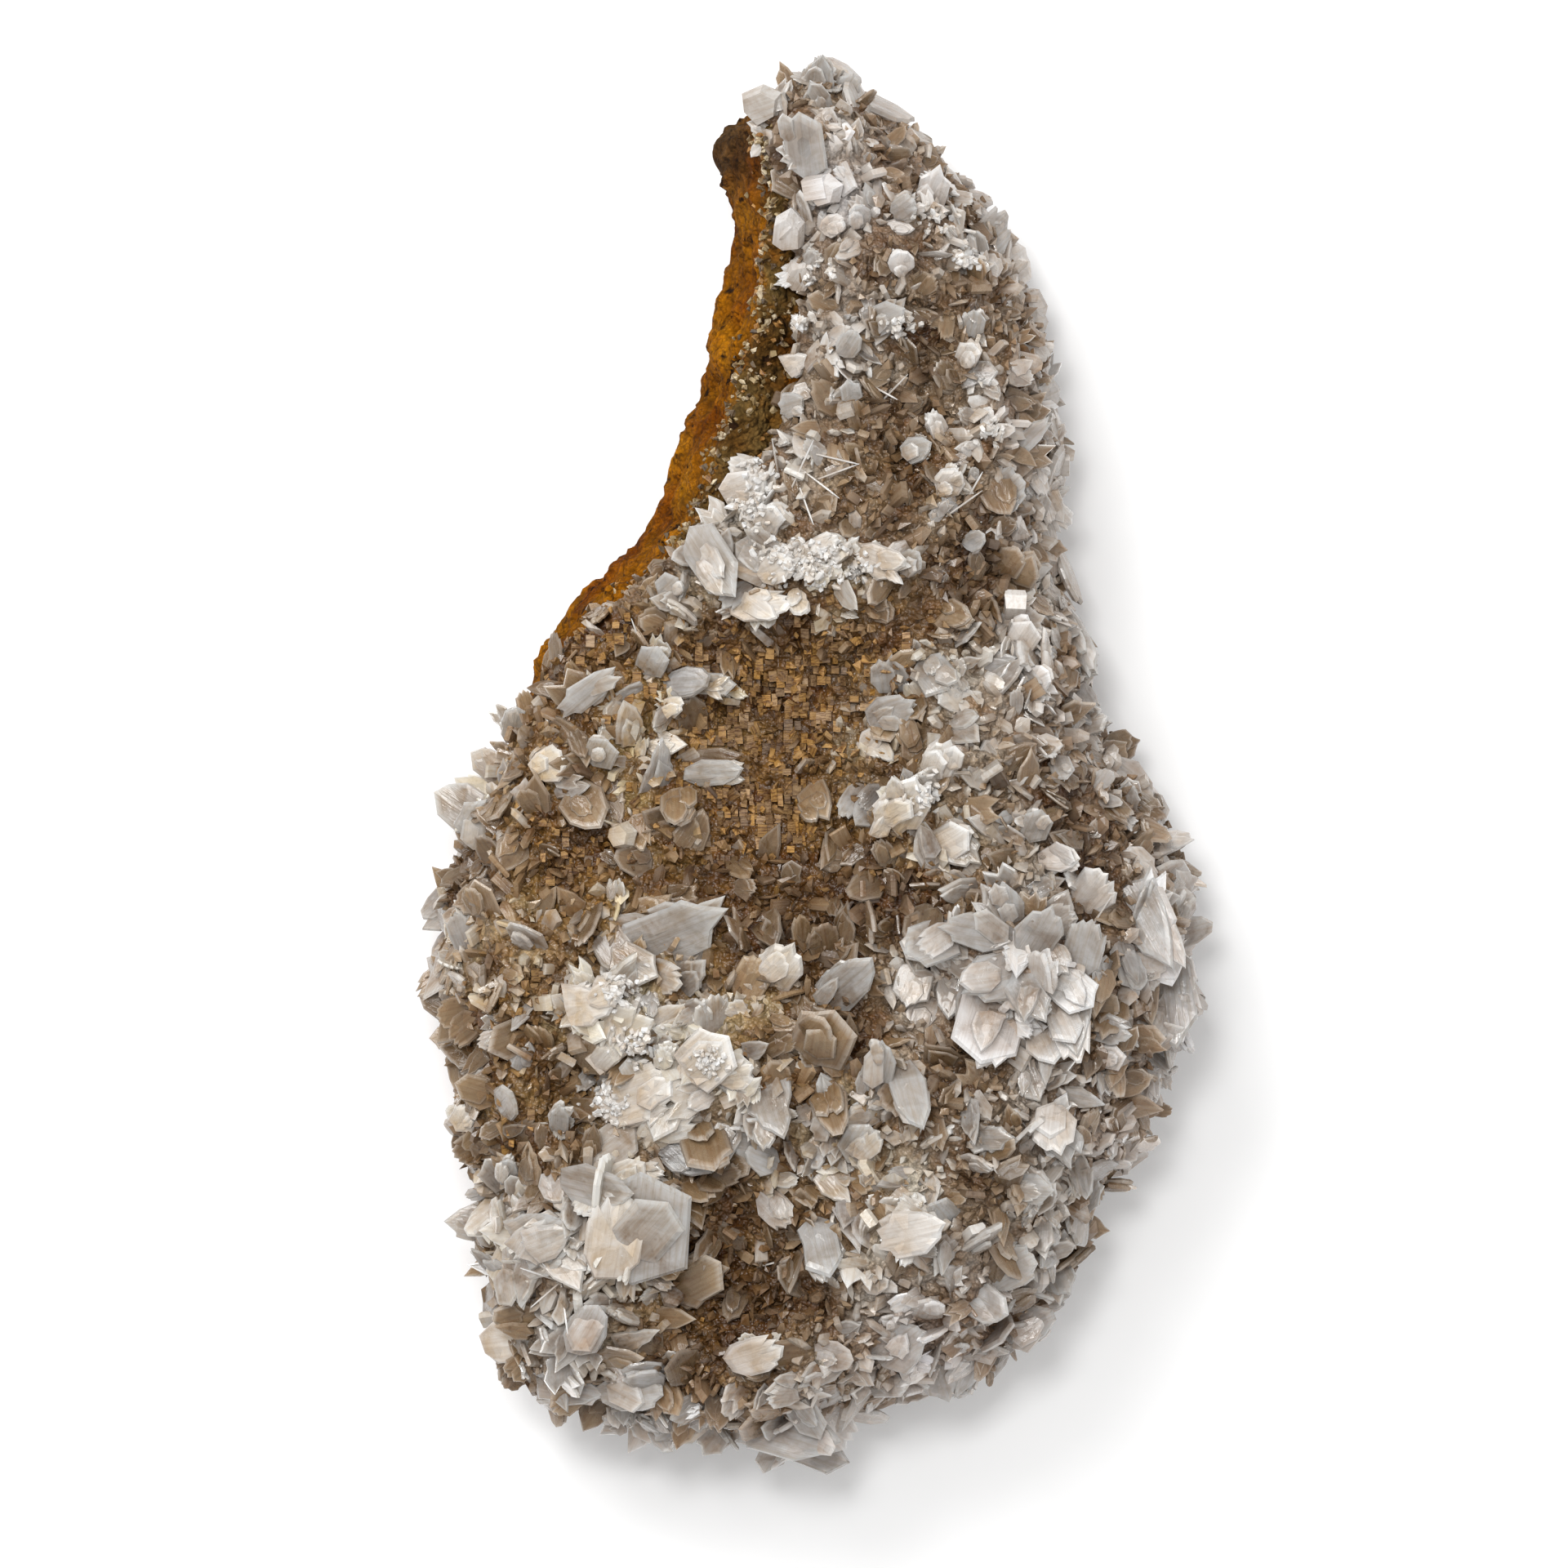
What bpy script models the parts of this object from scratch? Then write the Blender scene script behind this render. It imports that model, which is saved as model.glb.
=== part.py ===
"""A gypsum specimen lying on its back: an ochre rock matrix and the crust of gypsum crystals on it."""

import math
import random

import bpy
import numpy as np
from mathutils import Euler, Matrix, Vector, noise
from mathutils.geometry import delaunay_2d_cdt

# Millimetres until the meshes are made. +X is right, +Y up and +Z towards the viewer of the photograph.
MM = 0.001
GAP = 0.3
MATRIX_RING_POINTS = 84
CRUST_RING_POINTS = 76
MATRIX_GRID = 7.0
CRUST_GRID = 4.4
MATRIX_TOP = 19.5
CRUST_HEIGHT = 8.0
ROUNDING_OPEN_SIDE = 13.0
ROUNDING_WALL_SIDE = 6.5
SMALL_CRYSTALS = 46
RIM_CRYSTALS = 34

# Each row of points runs clockwise and has how much its stretch belongs to the ochre wall, from 0 to 1.
MATRIX_OUTLINE = [
    (0.0, [
        (-0.7, 59.9), (3.5, 56.7), (8.1, 54.6), (11.6, 50.0), (15.1, 46.5), (16.9, 41.9), (18.3, 35.6),
        (19.2, 28.5), (19.0, 21.5), (19.2, 14.4), (21.5, 8.8), (22.2, 1.8), (26.1, -2.5), (29.2, -7.4),
        (30.3, -13.0), (29.9, -19.4), (29.1, -25.7), (26.8, -32.0), (22.9, -36.3), (19.7, -40.5),
        (18.0, -46.1), (13.0, -49.3), (7.4, -51.8), (1.1, -56.0), (-6.7, -54.9), (-13.7, -54.6),
        (-20.8, -53.2),
    ]),
    (0.5, [
        (-27.1, -51.1), (-28.0, -44.7), (-27.8, -39.1), (-29.9, -33.5), (-31.7, -28.5), (-32.4, -23.6),
        (-33.3, -18.0), (-32.4, -12.3), (-31.0, -6.7), (-28.9, -1.8), (-27.0, 3.2),
    ]),
    (1.0, [
        (-25.0, 8.8), (-21.5, 13.4), (-14.4, 20.1), (-12.9, 24.3), (-11.3, 29.2), (-10.1, 34.2),
        (-8.5, 38.4), (-7.8, 44.7), (-7.5, 48.6), (-9.7, 52.5), (-6.7, 56.3), (-3.5, 58.7),
    ]),
]
CRUST_OUTLINE = [
    (0.0, [
        (0.4, 60.4), (3.4, 58.6), (6.8, 56.4), (9.6, 54.2), (12.2, 50.9), (15.3, 48.6), (17.3, 45.6),
        (18.6, 42.4), (19.9, 38.6), (20.8, 34.4), (21.9, 30.8), (22.2, 26.6), (21.3, 22.4), (21.2, 16.6),
        (22.6, 12.4), (24.4, 9.0), (24.2, 5.4), (25.2, 1.2), (28.2, -1.3), (31.0, -4.8), (32.2, -8.5),
        (33.2, -12.2), (32.8, -17.5), (32.6, -22.0), (32.2, -27.0), (30.6, -31.7), (28.2, -35.2),
        (25.2, -39.2), (23.2, -41.4), (22.6, -45.2), (20.6, -48.5), (17.4, -51.4), (14.6, -53.4),
        (11.2, -55.7), (5.6, -55.9), (3.0, -58.6), (1.2, -60.9), (-2.2, -61.0), (-6.0, -59.2),
        (-9.6, -58.0), (-13.0, -59.0), (-16.6, -58.0), (-20.4, -57.2), (-23.2, -56.2),
    ]),
    (0.5, [
        (-25.4, -53.6), (-28.4, -52.6), (-29.0, -48.6), (-28.6, -43.4), (-29.0, -39.1), (-30.2, -35.0),
        (-31.6, -29.6), (-32.4, -24.0), (-33.3, -18.6), (-32.8, -13.0), (-31.2, -7.0), (-28.8, -2.0),
        (-26.4, 3.2),
    ]),
    (1.0, [
        (-23.6, 8.5), (-19.9, 12.7), (-15.5, 16.5), (-11.3, 19.0), (-8.3, 23.8), (-4.9, 27.7),
        (-2.9, 32.0), (-3.0, 38.4), (-3.5, 44.7), (-4.2, 49.0), (-6.0, 52.4), (-6.2, 55.4), (-4.6, 58.2),
        (-2.2, 60.0),
    ]),
]
# The middle line that both outlines are drawn in towards.
SPINE = [(4, 54), (6, 40), (7, 28), (5, 14), (0, 0), (-1, -20), (-4, -36), (-5, -42)]

# Height and inset of each contour: on the open side, then on the ochre wall.
MATRIX_LEVELS = [
    ((0.9, 9.5), (0.9, 9.5)),
    ((3.0, 5.2), (3.0, 5.6)),
    ((7.0, 2.0), (7.0, 2.2)),
    ((11.0, 2.6), (11.5, 0.0)),
    ((14.0, 4.2), (16.0, 1.6)),
    ((17.0, 7.0), (20.0, 3.2)),
    ((18.6, 9.5), (23.2, 4.6)),
]
CRUST_LEVELS = [
    ((6.0, 5.0), (14.0, 7.0)),
    ((7.0, 1.6), (17.5, 4.0)),
    ((11.0, 0.0), (21.8, 0.4)),
]

# Hollows in the crust: x, y, radius along x, radius along y, depth.
HOLLOWS = [
    (-4.6, 3.2, 13.0, 11.0, 4.6), (8.1, 31.3, 5.0, 6.0, 2.8), (13.0, 15.8, 6.0, 5.0, 2.4),
    (-8.1, -44.7, 8.0, 7.0, 5.0), (-19.7, -27.8, 4.2, 4.2, 3.4), (11.3, -20.0, 4.0, 4.0, 2.8),
    (-14.4, 10.9, 4.0, 4.0, 2.2), (-25.0, -37.0, 3.2, 3.2, 2.0), (24.0, -12.5, 4.5, 5.0, 3.0),
    (-22.0, -9.0, 6.0, 6.0, 1.6),
]
# Ridges on it: the points of the crest, its half width, its height.
RIDGES = [
    ([(-7.4, 13.0), (-2.0, 13.6), (3.0, 17.0), (8.1, 16.5)], 3.4, 2.2),
    ([(-11.0, 18.0), (-7.0, 14.0)], 3.6, 1.8),
    ([(-19.0, -21.5), (-9.0, -26.5), (0.4, -25.7), (11.0, -30.0)], 5.0, 2.8),
    ([(12.0, -15.5), (17.0, -18.0), (22.0, -17.0)], 5.0, 3.0),
    ([(27.0, -14.0), (30.0, -22.0)], 4.0, 2.2),
    ([(-23.0, -38.5), (-17.0, -40.0)], 5.0, 3.4),
    ([(4.0, -41.0), (11.0, -40.0)], 4.5, 2.6),
    ([(8.0, -5.0), (12.0, -1.0)], 4.0, 2.4),
    ([(-18.0, 4.0), (-14.0, 3.0)], 3.0, 1.2),
    ([(-1.8, 40.0), (-1.4, 32.0)], 3.0, 1.4),
    ([(8.0, 48.5), (11.5, 45.0)], 4.0, 1.8),
]
# Pits and ledges on the ochre wall: x, y, z, reach, how far the surface goes in (ledges are negative).
WALL_MARKS = [
    (-7.2, 41.5, 18.5, 2.6, 1.5), (-6.6, 36.5, 17.0, 2.4, 1.3), (-9.6, 31.5, 15.0, 2.6, 1.4),
    (-13.0, 24.0, 14.0, 2.4, 1.2), (-18.6, 16.0, 15.0, 2.6, 1.3), (-22.6, 11.4, 13.0, 2.2, 1.1),
    (-8.2, 46.6, 15.5, 2.4, -0.9), (-8.9, 37.8, 12.0, 2.4, -0.8), (-12.5, 27.0, 18.0, 2.6, -1.0),
    (-9.4, 52.4, 13.0, 3.0, -0.9), (-16.4, 18.4, 12.0, 2.6, -0.9), (-30.8, -8.0, 9.0, 2.6, 1.0),
    (-31.6, -26.0, 8.5, 2.8, 1.0), (-28.0, -42.0, 9.0, 2.6, 0.9),
]

# Crystals that stand out: kind (P plate, L lens, B block), x, y, length, width, thickness, then heading,
# tip-up and roll in degrees.
CRYSTALS = [
    ("L", 1.2, 58.1, 5.9, 4.4, 3.2, 75, 35, 10), ("B", -4.4, 55.8, 4.1, 3.5, 2.6, 20, 20, 20),
    ("P", -0.7, 51.8, 7.2, 3.8, 2.4, 97, 28, -18), ("B", -2.1, 44.7, 4.4, 3.1, 2.6, 80, 35, -10),
    ("P", 10.2, 48.2, 5.5, 3.2, 2.8, 70, 30, 15), ("L", 6, 37, 4.5, 3, 2.4, 22, 28, 15),
    ("P", 16.2, 22.7, 5.4, 4.2, 3, 40, 30, 0), ("L", 18.4, 27, 6.6, 2, 2, 45, 24, 0),
    ("P", -5.8, 22.6, 5.1, 3.9, 3, 20, 30, 15), ("P", -8.8, 16.5, 8.6, 4.4, 2.6, -58, 28, 18),
    ("P", -4.4, 12.7, 6.5, 3, 2.4, 4, 18, -16), ("L", -3.2, 15.7, 4.1, 3, 2.4, 30, 34, 0),
    ("P", 0.7, 17.5, 4.5, 2.7, 2.4, 20, 28, 14), ("P", 5.7, 16.4, 5.1, 3.2, 2.6, -22, 26, 16),
    ("P", 17.3, 15.7, 5.2, 4.6, 3.2, 70, 30, 0), ("P", 22.7, 9.9, 8.2, 3.4, 3, -68, 22, 10),
    ("P", 23.9, 2.7, 4.8, 3.4, 3.4, 2, 14, 0), ("P", 10.2, 6.8, 4.5, 3.9, 2.8, -50, 34, 0),
    ("P", 6.7, 3.7, 5.2, 3.4, 2.6, 20, 30, 14), ("L", -19.2, 5.3, 7.6, 2.7, 2.2, 38, 24, 16),
    ("L", -8.9, 6.1, 5.9, 2, 2, -4, 20, 0), ("L", -25.7, 2.5, 5.1, 3, 2.6, 80, 36, 0),
    ("P", -19.4, -4.4, 5.4, 4.4, 3, -60, 28, 0), ("L", -11.5, -4.3, 4.6, 3.4, 2.4, -88, 36, 0),
    ("L", -8.5, -1.5, 6.1, 2.7, 2.4, 4, 22, 18), ("P", -28.8, -5.7, 5.1, 4.1, 3, 60, 34, 0),
    ("P", 0.4, -4, 4.4, 3.5, 2.6, -60, 34, 0), ("P", 7.7, -4.4, 7, 4.9, 3.2, 62, 34, 14),
    ("L", 10.9, -0.4, 4.6, 3.4, 2.8, 60, 38, 0), ("P", 11.8, -7.4, 4.1, 3.5, 2.6, 30, 36, 0),
    ("P", -12.2, -15.3, 11.7, 5.9, 3, 22, 18, 20), ("L", -2.8, -18.1, 6.6, 4.4, 3.2, 55, 40, 0),
    ("P", 2.9, -19.4, 7.5, 4.1, 2.6, 42, 28, 12), ("P", 0.8, -24, 7, 5.8, 3.6, 62, 34, 0),
    ("P", -18.7, -21.1, 6.1, 4.5, 3, 10, 28, 0), ("P", -15, -28.9, 8.3, 5.4, 3.2, 20, 26, 0),
    ("P", -9.1, -25.7, 6.8, 5.1, 3, 40, 26, 0), ("P", -3.5, -29.9, 6.5, 5.2, 3, -70, 30, 0),
    ("L", -9.1, -33, 6.6, 4.6, 3.2, -76, 42, 0), ("L", 1.5, -29.9, 6.5, 3.4, 2.6, -70, 36, 0),
    ("L", 5.6, -26.5, 6.5, 3.1, 2.6, 80, 36, 0), ("P", 8.2, -28.7, 7.7, 3.4, 2.6, -74, 34, 0),
    ("P", 4, -32.9, 5.1, 3.5, 2.6, 60, 34, 0), ("P", 10.9, -17, 5.9, 4.1, 2.6, 20, 30, 14),
    ("P", 14.2, -15.3, 6.2, 3.9, 2.6, -6, 26, 14), ("L", 17.7, -15.8, 4.4, 3.5, 2.4, 50, 34, 0),
    ("P", 15, -21.8, 9.3, 5.4, 3.2, 22, 26, -20), ("P", 21.5, -20.9, 7.6, 3.7, 2.6, 58, 26, 0),
    ("P", 21.6, -16.5, 4.8, 3.5, 2.4, 60, 30, 0), ("P", 23.6, -11.1, 5.1, 3.9, 2.8, 40, 34, 0),
    ("L", 20.8, -8.8, 4.4, 2.7, 2.2, 0, 30, 0), ("P", 29.2, -18, 15.2, 5.5, 3.2, -72, 14, 12),
    ("P", 20.4, -31.8, 5.4, 4.4, 3.4, -82, 38, 0), ("P", 18, -36.8, 5.6, 3.1, 2.6, -6, 24, 14),
    ("L", 15.1, -32.5, 4.5, 2.4, 2.2, 0, 26, 0), ("P", -17.6, -36.4, 9.3, 4.4, 3, -12, 24, 20),
    ("P", -17.8, -40.8, 6.8, 8.3, 3.2, 84, 24, 0), ("P", -13.4, -41.5, 6.5, 6.8, 3.2, -80, 24, 0),
    ("P", -23, -40.8, 7, 5.9, 3.2, 30, 28, 0), ("L", -26.1, -35.6, 4.1, 2.3, 2.4, 80, 44, 0),
    ("P", -21.5, -31.1, 4.6, 2, 2.2, 86, 42, 0), ("L", -19.4, -48.9, 6.9, 4.1, 3, 62, 34, 0),
    ("P", -26.3, -50.4, 5.1, 4.4, 2.8, 10, 26, 0), ("P", -4.9, -51.1, 6.3, 3.8, 2.6, 20, 24, 16),
    ("P", -20.8, -54.4, 7.6, 4.1, 3.2, -10, 22, 0), ("P", -15.4, -54.4, 6.8, 4.1, 3, 10, 24, 0),
    ("P", -2.6, -58.2, 11.5, 5.5, 3.4, -14, 18, 0), ("P", 0.4, -60.6, 6.3, 3.5, 2.8, -20, 12, 0),
    ("P", 12.3, -53.7, 5.5, 4.2, 3, -60, 28, 0), ("P", 7.4, -50.4, 5.9, 5.1, 3, 40, 26, 0),
    ("P", 8.2, -40.5, 7.5, 4.4, 3.2, 14, 28, 0), ("P", 0.6, -41.6, 6.5, 3.8, 3, -76, 32, 0),
    ("P", -10.1, -44.7, 7.2, 4.4, 2.8, 30, 28, 0), ("P", 16.7, -43.7, 6.5, 4.4, 3, 30, 28, 0),
    ("P", 20.9, -44.7, 5.8, 3.9, 2.8, -60, 24, 0), ("P", 18.8, -49.3, 5.9, 3.7, 2.8, 30, 22, 0),
    ("L", 14.7, -46.8, 5.1, 3.7, 2.6, -30, 28, 0), ("P", 23.6, -38, 5.9, 3.9, 2.8, 60, 26, 0),
    ("P", 28.5, -28.5, 5.1, 3.4, 2.6, -80, 24, 0),
]


def resampled(sections, count):
    """Evenly spaced points round the closed outline, and the wall share of each, smoothed."""
    points = np.array([p for _, row in sections for p in row])
    shares = np.array([share for share, row in sections for _ in row])
    points = np.vstack([points, points[:1]])
    shares = np.append(shares, shares[0])
    along = np.append(0, np.cumsum(np.linalg.norm(np.diff(points, axis=0), axis=1)))
    at = np.linspace(0, along[-1], count, endpoint=False)
    ring = np.column_stack([np.interp(at, along, points[:, k]) for k in (0, 1)])
    share = np.interp(at, along, shares)
    share = sum(np.roll(share, k) for k in range(-2, 3)) / 5
    # Clockwise seen from above, so turned round for upward faces.
    return ring[::-1], share[::-1]


def nearest_on(path, points):
    """Nearest point of the path to each point."""
    path = np.array(path, float)
    best = np.full(len(points), np.inf)
    found = np.zeros((len(points), 2))
    for a, b in zip(path[:-1], path[1:]):
        t = np.clip((points - a) @ (b - a) / ((b - a) @ (b - a)), 0, 1)
        spot = a + t[:, None] * (b - a)
        far = np.linalg.norm(points - spot, axis=1)
        closer = far < best
        best[closer] = far[closer]
        found[closer] = spot[closer]
    return found, best


def drawn_in(ring, inset):
    """The ring moved towards the middle line, never more than two thirds of the way."""
    spot, far = nearest_on(SPINE, ring)
    step = np.minimum(inset, 0.66 * far)
    return ring + (spot - ring) * (step / far)[:, None]


def rough(x, y, z, size, seed):
    """Smooth noise between about -1 and 1, with lumps of the given size."""
    return noise.noise(Vector((x / size + seed, y / size, z / size))) * 1.6


def contour(outline, share, level, seed, amount):
    (z_open, inset_open), (z_wall, inset_wall) = level
    z = z_open + (z_wall - z_open) * share
    ring = drawn_in(outline, inset_open + (inset_wall - inset_open) * share)
    spot, far = nearest_on(SPINE, ring)
    out = (ring - spot) / far[:, None]
    push = np.array([rough(*p, h, 3.2, seed) for p, h in zip(ring, z)]) * amount
    lift = np.array([rough(*p, h, 4.0, seed + 7) for p, h in zip(ring, z)]) * amount * 0.6
    return np.column_stack([ring + out * push[:, None], z + lift])


class Rim:
    """The closed top contour of a lump: tells how far inside it a point is, and the rim's height there."""

    def __init__(self, ring, share):
        self.ring, self.share = ring, share
        self.ends = np.roll(ring, -1, axis=0)

    def look(self, x, y):
        """Distance to the rim (negative outside), rim height and wall share at the nearest rim point."""
        p = np.array((x, y))
        a, b = self.ring[:, :2], self.ends[:, :2]
        t = np.clip(((p - a) * (b - a)).sum(1) / ((b - a) ** 2).sum(1), 0, 1)
        far = np.linalg.norm(p - (a + t[:, None] * (b - a)), axis=1)
        k = int(far.argmin())
        crosses = (a[:, 1] > y) != (b[:, 1] > y)
        with np.errstate(divide="ignore", invalid="ignore"):
            cut = a[:, 0] + (y - a[:, 1]) * (b[:, 0] - a[:, 0]) / (b[:, 1] - a[:, 1])
        inside = (crosses & (x < cut)).sum() % 2 == 1
        height = self.ring[k, 2] + t[k] * (self.ends[k, 2] - self.ring[k, 2])
        return far[k] * (1 if inside else -1), height, self.share[k]


def hollow_depth(x, y):
    return sum(d * math.exp(-(((x - cx) / rx) ** 2 + ((y - cy) / ry) ** 2)) for cx, cy, rx, ry, d in HOLLOWS)


def ridge_height(x, y):
    spot = np.array([(x, y)], float)
    return sum(h * math.exp(-((nearest_on(path, spot)[1][0] / r) ** 2)) for path, r, h in RIDGES)


def matrix_height(rim, x, y):
    inside, edge, _ = rim.look(x, y)
    share = min(max(inside, 0) / 9, 1)
    share = share * share * (3 - 2 * share)
    return edge + (MATRIX_TOP - edge) * share + rough(x, y, 0, 9.0, 3) * 0.7 * share


def crust_height(rim, x, y):
    inside, edge, wall = rim.look(x, y)
    inside = max(inside, 0)
    reach = ROUNDING_OPEN_SIDE + (ROUNDING_WALL_SIDE - ROUNDING_OPEN_SIDE) * wall
    share = math.sqrt(1 - (1 - min(inside / reach, 1)) ** 2)
    full = MATRIX_TOP + CRUST_HEIGHT
    relief = ridge_height(x, y) - hollow_depth(x, y) + rough(x, y, 0, 5.5, 11) * 1.1
    return edge + (full - edge) * share + relief * min(inside / 4.5, 1)


def jagged_height(rim, x, y):
    """The crust's own faces, which break up steeply between one grid point and the next."""
    inside = rim.look(x, y)[0]
    return crust_height(rim, x, y) + rough(x, y, 0, 1.7, 29) * 1.25 * min(max(inside, 0) / 4, 1)


def filled(ring, grid, seed, height):
    """Points inside the ring on a jittered hexagonal grid, with the triangles that join them to the ring."""
    rng = random.Random(seed)
    low, high = ring[:, :2].min(0), ring[:, :2].max(0)
    inside = Rim(ring, np.zeros(len(ring)))
    flat = [Vector(p[:2]) for p in ring]
    row, y = 0, low[1]
    while y < high[1]:
        x = low[0] + (row % 2) * grid / 2
        while x < high[0]:
            px, py = x + rng.uniform(-0.22, 0.22) * grid, y + rng.uniform(-0.22, 0.22) * grid
            if inside.look(px, py)[0] > grid * 0.45:
                flat.append(Vector((px, py)))
            x += grid
        y += grid * 0.866
        row += 1
    count = len(ring)
    verts, _, faces, origin, _, _ = delaunay_2d_cdt(flat, [], [list(range(count))], 1, 1e-6)
    back = [o[0] for o in origin]
    faces = [[back[i] for i in face] for face in faces]
    more = [(p.x, p.y, height(p.x, p.y)) for p in flat[count:]]
    return more, faces


def lump(rings, grid, seed, height, base_height):
    """A closed lump: rings from the bottom up, a filled bottom and a filled top."""
    count = len(rings[0])
    points = [tuple(p) for ring in rings for p in ring]
    faces = []
    for level in range(len(rings) - 1):
        for k in range(count):
            a, b = level * count + k, level * count + (k + 1) % count
            c, d = b + count, a + count
            if (k + level) % 2:
                faces += [(a, b, c), (a, c, d)]
            else:
                faces += [(a, b, d), (b, c, d)]
    top = (len(rings) - 1) * count
    for ring, first, up, level_at, step in (
        (rings[-1], top, True, height, grid),
        (rings[0], 0, False, base_height, 9.0),
    ):
        more, made = filled(ring, step, seed, level_at)
        start = len(points) - count
        for face in made:
            face = [first + i if i < count else start + i for i in face]
            faces.append(tuple(face) if up else tuple(reversed(face)))
        points += more
    return points, faces


def moved(shape, place):
    points, faces = shape
    return [tuple(place @ Vector(p)) for p in points], faces


def joined(shapes):
    points, faces = [], []
    for more, made in shapes:
        faces += [tuple(i + len(points) for i in face) for face in made]
        points += more
    return points, faces


def lens(length, width, thick):
    """A gypsum lens: a six-sided girdle that rises to a short ridge above and below."""
    l, w, t = length / 2, width / 2, thick / 2
    rim = [(l, 0), (l * 0.42, w), (-l * 0.5, w * 0.86), (-l, 0), (-l * 0.42, -w), (l * 0.5, -w * 0.86)]
    points = [(x, y, 0) for x, y in rim]
    points += [(l * 0.34, 0, t), (-l * 0.34, 0, t), (l * 0.34, 0, -t), (-l * 0.34, 0, -t)]
    top = [(0, 1, 6), (1, 2, 7, 6), (2, 3, 7), (3, 4, 7), (4, 5, 6, 7), (5, 0, 6)]
    low = [tuple(reversed([i + 2 if i > 5 else i for i in face])) for face in top]
    return points, top + low


def plate(length, width, thick):
    """A flat-topped tabular crystal with slanting edges, pointed at one end."""
    l, w, t = length / 2, width / 2, thick / 2
    rim = [(l, w * 0.1), (l * 0.45, w), (-l * 0.7, w * 0.9), (-l, w * 0.05), (-l * 0.62, -w), (l * 0.6, -w * 0.8)]
    points = [(x, y, 0) for x, y in rim] + [(x * 0.8, y * 0.74, t) for x, y in rim]
    points += [(l * 0.3, 0, -t), (-l * 0.3, 0, -t)]
    faces = [(k, (k + 1) % 6, 6 + (k + 1) % 6, 6 + k) for k in range(6)] + [tuple(range(6, 12))]
    low = [(0, 1, 12), (1, 2, 13, 12), (2, 3, 13), (3, 4, 13), (4, 5, 12, 13), (5, 0, 12)]
    return points, faces + [tuple(reversed(face)) for face in low]


def block(length, width, thick):
    """A short four-sided crystal with one sloping end."""
    l, w, t = length / 2, width / 2, thick / 2
    rim = [(l, -w * 0.8), (l * 0.86, w * 0.9), (-l * 0.9, w), (-l, -w)]
    points = [(x, y, -t) for x, y in rim]
    points += [(x * 0.84, y * 0.82, t * (1 + 0.35 * x / l)) for x, y in rim]
    faces = [(3, 2, 1, 0), (4, 5, 6, 7)] + [(k, (k + 1) % 4, 4 + (k + 1) % 4, 4 + k) for k in range(4)]
    return points, faces


SHAPES = {"L": lens, "P": plate, "B": block}


def crystal(kind, length, width, thick, centre, heading, tip_up, roll):
    turn = Euler((math.radians(roll), -math.radians(tip_up), math.radians(heading)), "XYZ")
    return moved(SHAPES[kind](length, width, thick), Matrix.Translation(centre) @ turn.to_matrix().to_4x4())


def mesh_object(name, points, faces):
    mesh = bpy.data.meshes.new(name)
    mesh.from_pydata([tuple(c * MM for c in p) for p in points], [], faces)
    mesh.update()
    obj = bpy.data.objects.new(name, mesh)
    bpy.context.scene.collection.objects.link(obj)
    return obj


def with_booleans(obj, steps):
    """The object after the Boolean steps, whose operands are then removed."""
    for operation, other in steps:
        change = obj.modifiers.new(operation, "BOOLEAN")
        change.operation, change.object, change.solver = operation, other, "MANIFOLD"
    graph = bpy.context.evaluated_depsgraph_get()
    mesh = bpy.data.meshes.new_from_object(obj.evaluated_get(graph))
    obj.modifiers.clear()
    old, obj.data = obj.data, mesh
    mesh.name = obj.name
    bpy.data.meshes.remove(old)
    for _, other in steps:
        bpy.data.objects.remove(other)
    return obj


def keep_largest(obj):
    """Only the largest connected body of the mesh stays."""
    mesh = obj.data
    parent = list(range(len(mesh.vertices)))

    def root(i):
        while parent[i] != i:
            parent[i] = parent[parent[i]]
            i = parent[i]
        return i

    for edge in mesh.edges:
        a, b = (root(i) for i in edge.vertices)
        parent[a] = b
    mesh.calc_loop_triangles()
    volume = {}
    for tri in mesh.loop_triangles:
        a, b, c = (mesh.vertices[i].co for i in tri.vertices)
        key = root(tri.vertices[0])
        volume[key] = volume.get(key, 0) + a.dot(b.cross(c))
    best = max(volume, key=volume.get)
    kept = [i for i in range(len(parent)) if root(i) == best]
    index = {old: new for new, old in enumerate(kept)}
    points = [tuple(mesh.vertices[i].co / MM) for i in kept]
    faces = [tuple(index[i] for i in f.vertices) for f in mesh.polygons if f.vertices[0] in index]
    name = obj.name
    bpy.data.objects.remove(obj)
    return mesh_object(name, points, faces)


def batches(pieces):
    """Crystals in groups whose members stay clear of each other."""
    groups = []
    for points, faces in pieces:
        box = np.array(points)
        low, high = box.min(0) - 0.05, box.max(0) + 0.05
        for group in groups:
            if all((low > h).any() or (high < l).any() for l, h, _ in group):
                group.append((low, high, (points, faces)))
                break
        else:
            groups.append([(low, high, (points, faces))])
    return [joined([shape for _, _, shape in group]) for group in groups]


def material(name, colour, roughness, transmission=0.0):
    made = bpy.data.materials.new(name)
    made.use_nodes = True
    shader = made.node_tree.nodes["Principled BSDF"]
    shader.inputs["Base Color"].default_value = (*colour, 1)
    shader.inputs["Roughness"].default_value = roughness
    shader.inputs["Transmission Weight"].default_value = transmission
    shader.inputs["IOR"].default_value = 1.52
    return made


for leftover in list(bpy.data.objects):
    bpy.data.objects.remove(leftover)

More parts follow.
